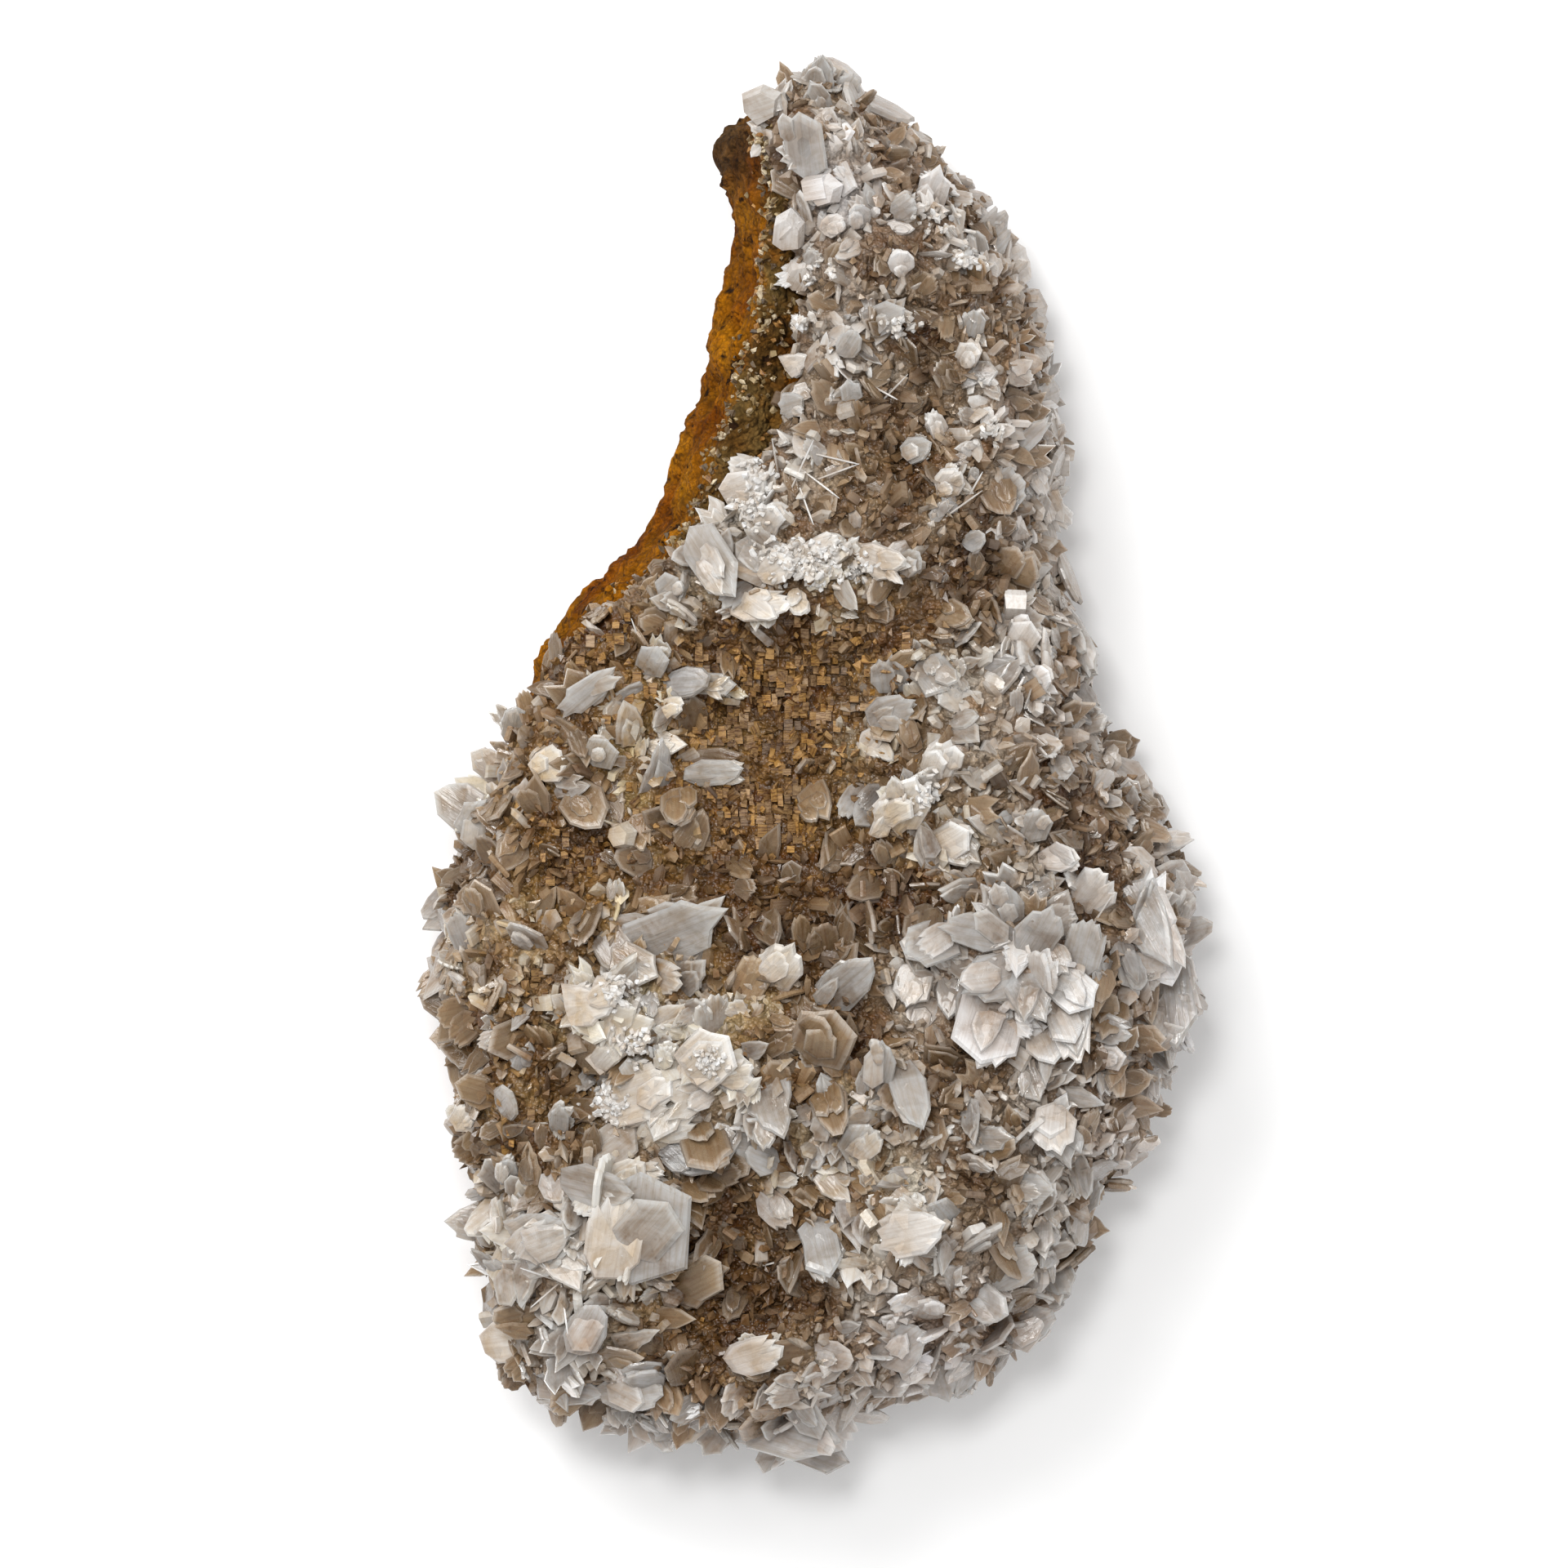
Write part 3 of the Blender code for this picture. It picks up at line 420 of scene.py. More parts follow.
gypsumLooks = {
    "clear": {"transmission": 0.55, "rough": 0.03, "roughSpread": 0.15, "bump": 0.4,
              "cloud": 0.7, "streak": 0.5, "speck": 0.35, "dirt": rgb(200, 176, 146), "tint": 0.75,
              "glass": rgb(238, 236, 232), "veil": rgb(240, 241, 241), "streakTint": rgb(222, 208, 190),
              "streakScale": 1.0, "cloudScale": 330, "absorb": rgb(240, 232, 220), "density": 40.0},
    "cloudy": {"transmission": 0.42, "rough": 0.05, "roughSpread": 0.2, "bump": 0.3,
               "cloud": 0.55, "streak": 0.45, "speck": 0.45, "dirt": rgb(186, 160, 128), "tint": 0.85,
               "glass": rgb(240, 237, 232), "veil": rgb(230, 229, 226), "streakTint": rgb(226, 210, 190),
               "streakScale": 1.2, "cloudScale": 500, "absorb": rgb(236, 222, 204), "density": 60.0},
    "milky": {"transmission": 0.25, "rough": 0.1, "roughSpread": 0.2, "bump": 0.35,
              "cloud": 0.5, "streak": 0.45, "speck": 0.35, "dirt": rgb(196, 176, 150), "tint": 0.9,
              "glass": rgb(240, 239, 237), "veil": rgb(236, 237, 237), "streakTint": rgb(226, 213, 198),
              "streakScale": 1.0, "cloudScale": 420, "absorb": rgb(240, 230, 214), "density": 60.0},
    "white": {"transmission": 0.08, "rough": 0.16, "roughSpread": 0.3, "bump": 0.45,
              "cloud": 0.4, "streak": 0.45, "speck": 0.2, "dirt": rgb(200, 188, 172), "tint": 0.95,
              "glass": rgb(240, 240, 240), "veil": rgb(228, 229, 230), "streakTint": rgb(222, 213, 204),
              "streakScale": 1.2, "cloudScale": 500, "absorb": rgb(245, 240, 232), "density": 60.0},
    "stained": {"transmission": 0.3, "rough": 0.08, "roughSpread": 0.3, "bump": 0.35,
                "cloud": 0.15, "streak": 0.45, "speck": 0.5, "dirt": rgb(160, 128, 90), "tint": 0.9,
                "glass": rgb(236, 208, 166), "veil": rgb(202, 176, 138), "streakTint": rgb(208, 176, 134),
                "streakScale": 1.0, "cloudScale": 500, "absorb": rgb(226, 190, 142), "density": 120.0},
    "golden": {"transmission": 0.0, "rough": 0.3, "roughSpread": 0.3, "bump": 0.8,
               "cloud": 0.3, "streak": 0.75, "speck": 0.7, "dirt": rgb(120, 82, 44), "tint": 1.0,
               "glass": rgb(226, 190, 116), "veil": rgb(184, 150, 96), "streakTint": rgb(130, 92, 50),
               "streakScale": 1.8, "cloudScale": 900, "absorb": rgb(214, 164, 86), "density": 200.0},
}
# The fine crystals have the colour of their own, and little shows through them.
for name, base, clarity in (("greyGrain", "cloudy", 0.25), ("paleGrain", "milky", 0.15), ("brownGrain", "stained", 0.25)):
    gypsumLooks[name] = {**gypsumLooks[base], "transmission": clarity, "tint": 1.0}
gypsumMaterials = {name: gypsumMaterial(name + " gypsum", look) for name, look in gypsumLooks.items()}


def earthMaterial(name, look):
    made, tree, shader, _ = newMaterial(name)
    tone = addNode(tree, "ShaderNodeAttribute", attribute_name="tone").outputs["Color"]
    earth = placeGroup(tree, earthGroup, Scale=look["scale"], Speck_Amount=look["speck"])
    stained = mixColour(tree, 1.0, tone, look["stainTint"], "MULTIPLY")
    colour = mixColour(tree, earth.outputs["Stain"], tone, stained)
    grain = mixColour(tree, 0.75, colour, ramp(tree, earth.outputs["Grain"], [(0.1, 0.42), (0.7, 1.0)]), "MULTIPLY")
    colour = mixColour(tree, earth.outputs["Speck"], grain, look["speckColour"])
    tree.links.new(colour, shader.inputs["Base Color"])
    shader.inputs["Roughness"].default_value = look["rough"]
    shader.inputs["Specular IOR Level"].default_value = look["specular"]
    bump = addNode(tree, "ShaderNodeBump", [("Height", earth.outputs["Height"])])
    bump.inputs["Strength"].default_value = look["bump"]
    bump.inputs["Distance"].default_value = look["relief"]
    tree.links.new(bump.outputs[0], shader.inputs["Normal"])
    return made


# ---- meshes
def denseMesh(points, faces, levels, smooth=True):
    # The points and faces after the given rounds of subdivision, in millimetres.
    mesh = bpy.data.meshes.new("dense")
    mesh.from_pydata(points, [], faces)
    obj = bpy.data.objects.new("dense", mesh)
    bpy.context.scene.collection.objects.link(obj)
    change = obj.modifiers.new("finer", "SUBSURF")
    change.levels = change.render_levels = levels
    change.subdivision_type = "CATMULL_CLARK" if smooth else "SIMPLE"
    done = bpy.data.meshes.new_from_object(obj.evaluated_get(bpy.context.evaluated_depsgraph_get()))
    made = np.empty(len(done.vertices) * 3)
    done.vertices.foreach_get("co", made)
    normals = np.empty(len(done.vertices) * 3)
    done.vertices.foreach_get("normal", normals)
    made, normals = made.reshape(-1, 3), normals.reshape(-1, 3)
    polygons = [tuple(f.vertices) for f in done.polygons]
    bpy.data.objects.remove(obj)
    bpy.data.meshes.remove(mesh)
    bpy.data.meshes.remove(done)
    return made, normals, polygons


def fractal(p, size, octaves=3, seed=0.0):
    return noise.fractal(Vector((p[0] / size + seed, p[1] / size, p[2] / size)), 0.9, 2.1, octaves)


def cells(p, size, seed=0.0):
    # Distance to the nearest cell corner and the gap to the next one.
    far = noise.voronoi(Vector((p[0] / size + seed, p[1] / size, p[2] / size)))[0]
    return far[0], far[1] - far[0]


def putTogether(name, points, faces, tones, grains=None, material=None, node="gypsum_crust", smooth=False, facetSpread=0.0):
    mesh = bpy.data.meshes.new(name)
    mesh.from_pydata(((np.asarray(points) + shift) * mm).tolist(), [], faces)
    # Each facet has its own brightness, as cleavage faces do.
    corners = np.array([i for f in faces for i in f])
    facets = np.random.default_rng(len(faces)).normal(1, facetSpread, len(faces)) if facetSpread else np.ones(len(faces))
    bright = np.repeat(facets, [len(f) for f in faces])[:, None]
    tones = np.clip(np.asarray(tones)[corners] * bright, 0, 0.97)
    colours = mesh.color_attributes.new("tone", "FLOAT_COLOR", "CORNER")
    colours.data.foreach_set("color", np.column_stack([tones, np.ones(len(tones))]).astype(np.float32).ravel())
    if grains is not None:
        grain = mesh.attributes.new("grain", "FLOAT_VECTOR", "POINT")
        grain.data.foreach_set("vector", np.asarray(grains, np.float32).ravel())
    mesh.polygons.foreach_set("use_smooth", smooth if isinstance(smooth, list) else [smooth] * len(mesh.polygons))
    mesh.update()
    obj = bpy.data.objects.new(name, mesh)
    bpy.context.scene.collection.objects.link(obj)
    obj.data.materials.append(material)
    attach(obj, "root")
    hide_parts(node)
    triangles = sum(len(f) - 2 for f in faces)
    print(name, "has", triangles, "triangles")
    return obj


def blendTone(a, b, t):
    return tuple(x + (y - x) * t for x, y in zip(a, b))


# ---- the rock the crystals grew on
rock = {
    "levels": 3,
    "ochre": rgb(206, 135, 18),
    "darkOchre": rgb(122, 70, 12),
    "knob": rgb(110, 82, 50),
    "shoulder": rgb(120, 104, 66),
    "under": rgb(158, 112, 52),
    "look": {"scale": 1.0, "speck": 0.62, "stainTint": rgb(200, 168, 120), "speckColour": rgb(44, 26, 12),
             "rough": 0.93, "specular": 0.08, "bump": 1.0, "relief": 0.0011},
    "pits": [(-7.2, 41.5, 18.5, 1.7, 1.6), (-6.6, 36.5, 17.0, 1.4, 1.5), (-9.6, 31.5, 15.0, 1.6, 1.4),
             (-8.6, 34.0, 19.5, 1.1, 1.2), (-13.0, 24.0, 14.0, 1.5, 1.3), (-18.6, 16.0, 15.0, 1.6, 1.4),
             (-22.6, 11.4, 13.0, 1.5, 1.2), (-6.9, 44.5, 20.5, 1.2, 1.2), (-8.9, 29.0, 19.0, 1.3, 1.2)],
}


def nodeMesh(name):
    # The points of a solid, each once, in millimetres of the layout, and its faces.
    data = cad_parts[name].data
    index, points, same = {}, [], []
    for v in data.vertices:
        key = tuple(round(c, 7) for c in v.co)
        if key not in index:
            index[key] = len(points)
            points.append(tuple(np.array(v.co) / mm - shift))
        same.append(index[key])
    return points, [tuple(same[i] for i in f.vertices) for f in data.polygons]


rockPoints, rockFaces = nodeMesh("matrix")


def makeRock():
    points, normals, faces = denseMesh(rockPoints, rockFaces, rock["levels"])
    tones = []
    moved = np.array(points)
    for k, (p, n) in enumerate(zip(points, normals)):
        free = min(max(p[2] - 0.4, 0) / 2.5, 1)
        big = fractal(p, 7.0, 3, 4.0)
        near, gap = cells(p, 3.4, 9.0)
        fine = fractal(p, 1.3, 3, 1.0)
        near2, gap2 = cells(p, 1.25, 5.0)
        out = 0.75 * big + 0.5 * min(gap * 1.6, 0.8) - 0.3 + 0.3 * fine + 0.5 * (0.45 - near2)
        for x, y, z, reach, depth in rock["pits"]:
            far = math.dist(p, (x, y, z))
            if far < reach * 1.6:
                out -= depth * math.exp(-((far / reach) ** 2) * 1.3)
        moved[k] = p + n * out * free
        x, y, z = p
        tone = blendTone(rock["darkOchre"], rock["ochre"], min(max(0.62 + 0.5 * big + 0.25 * fine, 0), 1))
        knob = math.exp(-(((x + 8.6) / 4.4) ** 2 + ((y - 53.0) / 4.6) ** 2)) * 1.3
        tone = blendTone(tone, rock["knob"], min(knob, 1))
        shoulder = min(max((z - 20.6 + 1.2 * fine) / 1.6, 0), 1)
        tone = blendTone(tone, rock["shoulder"], shoulder * 0.85)
        under = min(max((8.0 - z) / 6.0, 0), 1)
        tone = blendTone(tone, rock["under"], under * 0.6)
        # Darker in the crevices between the lumps, where the same cells sink the surface: painted shade.
        dark = 1 - 0.55 * min(max(0.32 - gap, 0) * 4, 1) * (0.5 + 0.5 * fine)
        tones.append(tuple(c * dark for c in tone))
    moved[:, 2] = np.maximum(moved[:, 2], 0)
    putTogether("ochreRock", moved, faces, tones, None, earthMaterial("ochre rock", rock["look"]), "matrix", True)
    return moved, normals


rockSkin, rockSkinNormals = makeRock()
print("rock done")

heights = {"low": (-36.0, -66.0), "step": 1.5, "count": (49, 88)}
heightTable = np.array([
    [crustHeight(heights["low"][0] + i * heights["step"], heights["low"][1] + j * heights["step"]) for j in range(heights["count"][1])]
    for i in range(heights["count"][0])
])


def heightAt(x, y):
    u = min(max((x - heights["low"][0]) / heights["step"], 0), heights["count"][0] - 1.001)
    v = min(max((y - heights["low"][1]) / heights["step"], 0), heights["count"][1] - 1.001)
    i, j = int(u), int(v)
    u, v = u - i, v - j
    low = heightTable[i, j] * (1 - u) + heightTable[i + 1, j] * u
    return low * (1 - v) + (heightTable[i, j + 1] * (1 - u) + heightTable[i + 1, j + 1] * u) * v


# ---- what lies where on the crust
# Each spot is x, y, radius along x and y, and strength.
zones = {
    "blocks": [(-4.6, 3.2, 9.5, 8.5, 1.15), (-19.5, 9.0, 4.0, 4.0, 0.7), (-6.0, -5.5, 8.0, 3.0, 0.6), (4.0, 9.5, 4.5, 3.0, 0.6),
               (-20.5, -8.0, 4.0, 4.5, 0.6), (-25.0, -30.5, 2.5, 5.0, 0.5), (-9.0, -50.0, 3.0, 2.5, 0.4), (-22.5, -20.0, 3.0, 3.0, 0.4)],
    "warm": [(-5.0, 2.0, 14.0, 12.0, 0.9), (-20.0, 4.0, 9.0, 9.0, 0.8), (-19.0, -10.0, 12.0, 9.0, 0.9), (-6.0, -13.0, 13.0, 8.0, 0.7),
             (-8.1, -44.7, 9.0, 9.0, 1.0), (-21.0, -28.0, 7.0, 7.0, 0.8), (-28.0, -25.0, 4.0, 12.0, 0.6), (-3.0, -24.0, 8.0, 6.0, 0.7),
             (3.0, -33.0, 8.0, 8.0, 0.45), (9.0, 13.0, 9.0, 4.0, 0.5), (8.0, 24.0, 7.0, 4.0, 0.5), (-28.0, -45.0, 3.0, 12.0, 0.5),
             (-9.0, -56.0, 4.0, 3.0, 0.6), (8.0, -8.0, 8.0, 5.0, 0.4), (15.0, 36.0, 4.0, 5.0, 0.3)],
    "brown": [(8.1, 28.5, 4.5, 8.0, 0.8), (13.0, 15.8, 6.0, 4.5, 0.9), (-8.1, -43.7, 5.5, 9.0, 1.3), (-20.7, -28.8, 4.0, 4.5, 1.0),
              (9.0, -12.0, 10.0, 4.0, 0.8), (24.5, -9.0, 5.0, 5.0, 0.9), (-4.0, -13.0, 9.0, 4.5, 0.7), (2.0, -22.0, 5.0, 6.0, 0.6),
              (-20.5, -8.0, 5.0, 4.0, 0.5), (13.0, -24.0, 6.0, 5.0, 0.7), (4.0, 42.0, 4.5, 2.5, 0.5), (11.5, 48.5, 4.0, 2.5, 0.5),
              (3.0, 21.5, 6.0, 3.0, 0.6), (-23.0, -37.5, 3.0, 2.0, 0.6), (14.5, -36.5, 4.0, 2.0, 0.5), (2.5, -40.0, 3.5, 2.5, 0.5),
              (-14.5, 10.5, 4.0, 3.0, 0.6), (26.5, -22.0, 3.0, 5.0, 0.6), (-2.0, -46.0, 4.0, 5.0, 0.6)],
    "pale": [(0.0, 46.0, 4.0, 6.0, 0.8), (10.5, 44.5, 4.0, 3.0, 0.6), (1.0, 33.0, 4.0, 6.0, 0.7), (-4.5, 22.5, 6.0, 4.0, 1.0),
             (-8.8, 16.5, 3.0, 5.0, 0.9), (1.0, 16.0, 7.0, 2.2, 1.2), (15.0, 27.0, 4.0, 5.0, 0.6), (19.0, 20.0, 3.0, 7.0, 0.8),
             (18.0, 9.0, 3.5, 5.0, 0.7), (11.0, 5.0, 5.0, 4.0, 0.6), (9.5, -4.0, 5.0, 4.0, 0.9), (17.0, -17.5, 7.5, 5.5, 1.2),
             (29.5, -17.0, 3.0, 9.0, 1.0), (-17.5, -21.0, 4.0, 5.0, 1.2), (-13.5, -29.0, 6.0, 5.0, 1.2), (-8.0, -26.0, 4.0, 4.0, 0.9),
             (-15.0, 3.5, 7.0, 3.0, 0.8), (-14.5, -1.5, 3.0, 5.0, 0.7), (-28.5, -4.5, 3.0, 3.5, 0.9), (-12.0, -15.0, 7.0, 3.0, 0.8),
             (-17.0, -40.0, 8.0, 6.0, 1.2), (-25.5, -42.0, 4.0, 5.0, 0.7), (8.0, -41.0, 6.0, 3.5, 1.0), (-24.0, -50.0, 5.0, 3.0, 0.6),
             (-14.0, -56.5, 9.0, 3.0, 0.8), (1.0, -58.5, 5.0, 4.0, 1.0), (11.0, -52.5, 7.0, 3.5, 0.7), (18.0, -43.0, 5.0, 5.0, 0.5),
             (2.0, -33.0, 5.0, 4.0, 0.6), (20.0, -32.0, 4.0, 4.0, 0.7), (-30.5, -18.0, 3.0, 6.0, 0.6), (-28.0, -28.0, 2.5, 4.0, 0.3)],
    "lilac": [(14.0, -50.0, 14.0, 6.0, 1.0), (-8.0, -58.0, 16.0, 4.0, 1.0), (27.0, -35.0, 5.0, 8.0, 0.8), (30.0, -20.0, 4.0, 12.0, 0.7),
              (18.0, 30.0, 4.0, 20.0, 0.6), (24.0, 2.0, 5.0, 8.0, 0.6), (14.0, -20.0, 10.0, 8.0, 0.5), (4.0, 48.0, 8.0, 8.0, 0.5)],
}
palette = {
    "steps": [rgb(68, 45, 24), rgb(122, 93, 62), rgb(173, 150, 123), rgb(207, 200, 190), rgb(238, 239, 240)],
    "gold": rgb(182, 134, 62),
    "darkGold": rgb(84, 52, 20),
    # rim is the colour of the painted highlight along crystal edges.
    "rim": rgb(240, 240, 238),
    "warmTurn": (1.04, 0.85, 0.42),
    "lilacTurn": (1.0, 0.955, 1.0),
}


def toneOf(level, warm=0.0, lilac=0.0):
    # 0 is the darkest brown root, 1 the whitest tip.
    at = min(max(level, 0), 0.999) * (len(palette["steps"]) - 1)
    k = int(at)
    tone = blendTone(palette["steps"][k], palette["steps"][k + 1], at - k)
    tone = tuple(c * (1 + (g - 1) * warm) for c, g in zip(tone, palette["warmTurn"]))
    return tuple(c * (1 + (g - 1) * lilac) for c, g in zip(tone, palette["lilacTurn"]))


def zoneAt(x, y):
    found = {
        name: min(sum(h * math.exp(-(((x - cx) / rx) ** 2 + ((y - cy) / ry) ** 2)) for cx, cy, rx, ry, h in spots), 1)
        for name, spots in zones.items()
    }
    return found


def paleness(p, zone):
    # How pale the crust is at a point, 0 to 1: brown in hollows, pale on ridges, in soft patches, and darker where a
    # point lies below the smooth crust height, which is painted shade in the small recesses.
    deep = p[2] - heightAt(p[0], p[1])
    level = 0.48 + 0.36 * fractal(p, 6.0, 2, 21.0) + 0.3 * fractal(p, 2.6, 2, 33.0) + 0.1 * max(min(deep, 1.5), -2)
    level += 0.4 * zone["pale"] + 0.08 * zone["lilac"] - 0.5 * zone["brown"] - 0.22 * zone["warm"]
    return min(max(level, 0), 1)


# ---- the crust's ground between the crystals
ground = {
    "levels": 3,
    "look": {"scale": 1.3, "speck": 0.5, "stainTint": rgb(190, 160, 128), "speckColour": rgb(52, 34, 18),
             "rough": 0.36, "specular": 0.6, "bump": 0.8, "relief": 0.0006},
}


def cellFacet(p, size, seed):
    # Each cell is a flat facet with its own height and slope, as the tops of crystals grown side by side.
    spot = Vector((p[0] / size + seed, p[1] / size, p[2] / size))
    far, centres = noise.voronoi(spot)
    lean = noise.noise_vector(centres[0] * 5.3)
    return size * (lean.dot(spot - centres[0]) * 1.1 + 0.45 * lean.z), far[1] - far[0], lean


def makeGround():
    points, faces = crustLump()
    points, normals, faces = denseMesh(points, faces, ground["levels"])
    tones, moved = [], np.array(points)
    for k, (p, n) in enumerate(zip(points, normals)):
        big, gap, own = cellFacet(p, 2.6, 3.0)
        fine, fineGap, fineOwn = cellFacet(p, 1.1, 7.0)
        zone = zoneAt(p[0], p[1])
        side = min(max(1 - n[2] * 1.6, 0), 1) if p[2] > 5 else 0
        hollow = 0.9 * zone["brown"] * max(fractal(p, 2.4, 2, 15.0), 0)
        moved[k] = p + n * (big * 0.55 + fine * 0.5 - 0.35 - hollow)
        tone = toneOf(0.25 + 0.62 * paleness(p, zone) + 0.15 * side + 0.08 * own.x + 0.06 * fineOwn.y, zone["warm"], zone["lilac"])
        gold = blendTone(palette["darkGold"], palette["gold"], min(max(0.4 + 0.7 * fineOwn.x, 0), 1))
        tone = blendTone(tone, gold, 0.8 * zone["blocks"])
        # Darker along the seams between the small facets: painted shade between the crystal tops.
        dark = 1 - 0.5 * min(max(0.22 - fineGap, 0) * 4.5, 1)
        tones.append(tuple(c * dark for c in tone))
    return moved, normals, faces, tones


groundPoints, groundNormals, groundFaces, groundTones = makeGround()
groundPiece = putTogether("crustGround", groundPoints, groundFaces, groundTones, None,
                          earthMaterial("stained crust ground", ground["look"]), smooth=False)
print("crust ground done")

# ---- crystal shapes, in a box from -1 to 1 along length, width and thickness
# A shape is its points, its faces, how much of a rim each point is, and which faces are smooth.
shapeRandom = random.Random(3)


def outlineFor(kind, rng):
    if kind == "lobe":
        rim = [(math.cos(a) * rng.uniform(0.84, 1), math.sin(a) * rng.uniform(0.84, 1)) for a in (2 * math.pi * k / 9 for k in range(9))]
    elif kind == "wedge":
        rim = [(1, 0.05), (0.5, 0.5), (-0.2, 0.85), (-0.85, 0.95), (-1, 0.1), (-0.8, -0.75), (-0.1, -0.85), (0.45, -0.55)]
    elif kind == "kite":
        rim = [(1, 0), (0.3, 0.65), (-0.1, 0.9), (-0.75, 0.6), (-1, -0.1), (-0.6, -0.8), (0.1, -0.7)]
    elif kind == "swallow":
        rim = [(0.95, 0.75), (0.5, 0.12), (1, -0.55), (0.3, -1), (-0.6, -0.8), (-1, 0), (-0.7, 0.75), (0.2, 1)]
    elif kind == "ragged":
        # Its far end is a saw of crystal tips, its near end is plain.
        rim = [(0.2, -1)]
        for k in range(9):
            y = -0.92 + 1.84 * k / 8
            rim.append((1 - 0.4 * y * y - (rng.uniform(0.05, 0.36) if k % 2 else rng.uniform(0, 0.14)), y * rng.uniform(0.84, 1.0)))
        rim += [(0.15, 0.98), (-0.5, 0.85), (-1, 0.4), (-0.92, -0.4), (-0.45, -0.88)]
    elif kind == "blade":
        rim = [(1, 0.15), (0.55, 0.75), (-0.3, 1), (-0.9, 0.5), (-1, -0.3), (-0.5, -0.9), (0.3, -0.85), (0.8, -0.4)]
    elif kind == "block":
        return [(0.95, 0.9), (-0.9, 1), (-1, -0.85), (0.85, -1)]
    else:
        rim = [(1, 0.1), (0.45, 0.95), (-0.62, 0.9), (-1, 0.05), (-0.6, -0.95), (0.55, -0.85)]
    return [(x * rng.uniform(0.86, 1.04), y * rng.uniform(0.86, 1.06)) for x, y in rim]


def slabShape(rim, bevel=0.2, lean=0.12):
    # A tabular crystal on the given outline, with slanting edges and a slightly sloping top.
    n = len(rim)
    points = [(x * (1 - bevel), y * (1 - bevel), -1) for x, y in rim]
    points += [(x, y, -0.25) for x, y in rim]
    points += [(x * (1 - bevel), y * (1 - bevel), 1 + lean * x) for x, y in rim]
    faces = [tuple(range(n - 1, -1, -1)), tuple(range(2 * n, 3 * n))]
    for level in range(2):
        a = level * n
        faces += [(a + k, a + (k + 1) % n, a + n + (k + 1) % n, a + n + k) for k in range(n)]
    return np.array(points), faces


def plateShape(kind, rng, extra=2):
    # A thin crystal with an uneven, softly domed top. Points are added along the outline, nicked here and there.
    rim = outlineFor(kind, rng)
    full = []
    for k, (x, y) in enumerate(rim):
        x2, y2 = rim[(k + 1) % len(rim)]
        full.append((x, y))
        for j in range(1, extra if len(rim) < 12 else 1):
            t, nick = j / extra + rng.uniform(-0.12, 0.12), rng.choice((1.0, 1.03, 0.94, 0.86))
            full.append(((x + (x2 - x) * t) * nick, (y + (y2 - y) * t) * nick))
    n, seed = len(full), rng.uniform(0, 90)
    points, edges, faces = [], [], []

    def ring(scale, z, edge, wave):
        start = len(points)
        for x, y in full:
            lift = wave * noise.noise(Vector((x * scale * 1.6 + seed, y * scale * 1.6, 0)))
            points.append((x * scale, y * scale, z + lift))
            edges.append(edge)
        return start

    def band(a, b):
        faces.extend((a + k, a + (k + 1) % n, b + (k + 1) % n, b + k) for k in range(n))

    low = ring(0.86, -0.9, 0.3, 0)
    wide = ring(1.0, -0.1, 1.0, 0)
    top = [wide, ring(0.93, 0.75, 0.9, 0.15), ring(0.74, 0.95, 0.1, 0.4), ring(0.3, 1.0, 0.0, 0.5)]
    faces.append(tuple(range(low + n - 1, low - 1, -1)))
    band(low, wide)
    for a, b in zip(top, top[1:]):
        band(a, b)
    faces.append(tuple(range(top[3], top[3] + n)))
    return np.array(points), faces, np.array(edges), [False] * len(faces)


def lensShape(skew):
    rim = [(1, 0), (0.42, 1), (-0.5, 0.86), (-1, 0), (-0.42, -1), (0.5, -0.86)]
    points = [(x, y, 0) for x, y in rim] + [(0.34 + skew, 0, 1), (-0.34 + skew, 0, 1), (0.34 - skew, 0, -1), (-0.34 - skew, 0, -1)]
    top = [(0, 1, 6), (1, 2, 7, 6), (2, 3, 7), (3, 4, 7), (4, 5, 6, 7), (5, 0, 6)]
    low = [tuple(reversed([i + 2 if i > 5 else i for i in face])) for face in top]
    return np.array(points), top + low


def spikeShape(sharp):
    # A six-sided prism that ends in a wedge.
    points = [(-1, y, z) for y, z in ((1, 0), (0.55, 0.9), (-0.55, 0.9), (-1, 0), (-0.55, -0.9), (0.55, -0.9))]
    points += [(1 - sharp, y, z) for _, y, z in points[:6]]
    points += [(1, 0.32, 0.25), (1, -0.32, -0.2)]
    faces = [(0, 1, 2, 3, 4, 5)]
    faces += [(k, 6 + k, 6 + (k + 1) % 6, (k + 1) % 6) for k in range(6)]
    faces += [(6, 12, 7), (7, 12, 8), (8, 12, 13), (8, 13, 9), (9, 13, 10), (10, 13, 11), (11, 13, 12), (11, 12, 6)]
    return np.array(points), faces


def crumbShape(rng):
    # The plainest crystal: four sides that meet in an edge.
    points = [(-1, -0.8, 0), (-0.8, 0.9, 0.1), (0.6, 1, -0.1), (0.9, -0.9, 0), (-0.3, 0.1, 1), (0.5, -0.1, 0.9), (0, 0, -1)]
    points = [tuple(c + rng.uniform(-0.2, 0.2) for c in p) for p in points]
    faces = [(0, 4, 1), (1, 4, 5, 2), (2, 5, 3), (3, 5, 4, 0), (1, 6, 0), (2, 6, 1), (3, 6, 2), (0, 6, 3)]
    return np.array(points), faces


def fixedFaces(shape):
    # Turns faces outward.
    points, faces = shape[:2]
    bm = bmesh.new()
    verts = [bm.verts.new(p) for p in points]
    for face in faces:
        bm.faces.new([verts[i] for i in face])
    bmesh.ops.recalc_face_normals(bm, faces=bm.faces[:])
    bm.verts.index_update()
    made = [tuple(v.index for v in f.verts) for f in bm.faces]
    bm.free()
    return points, made, np.full(len(points), 0.6), [False] * len(made)


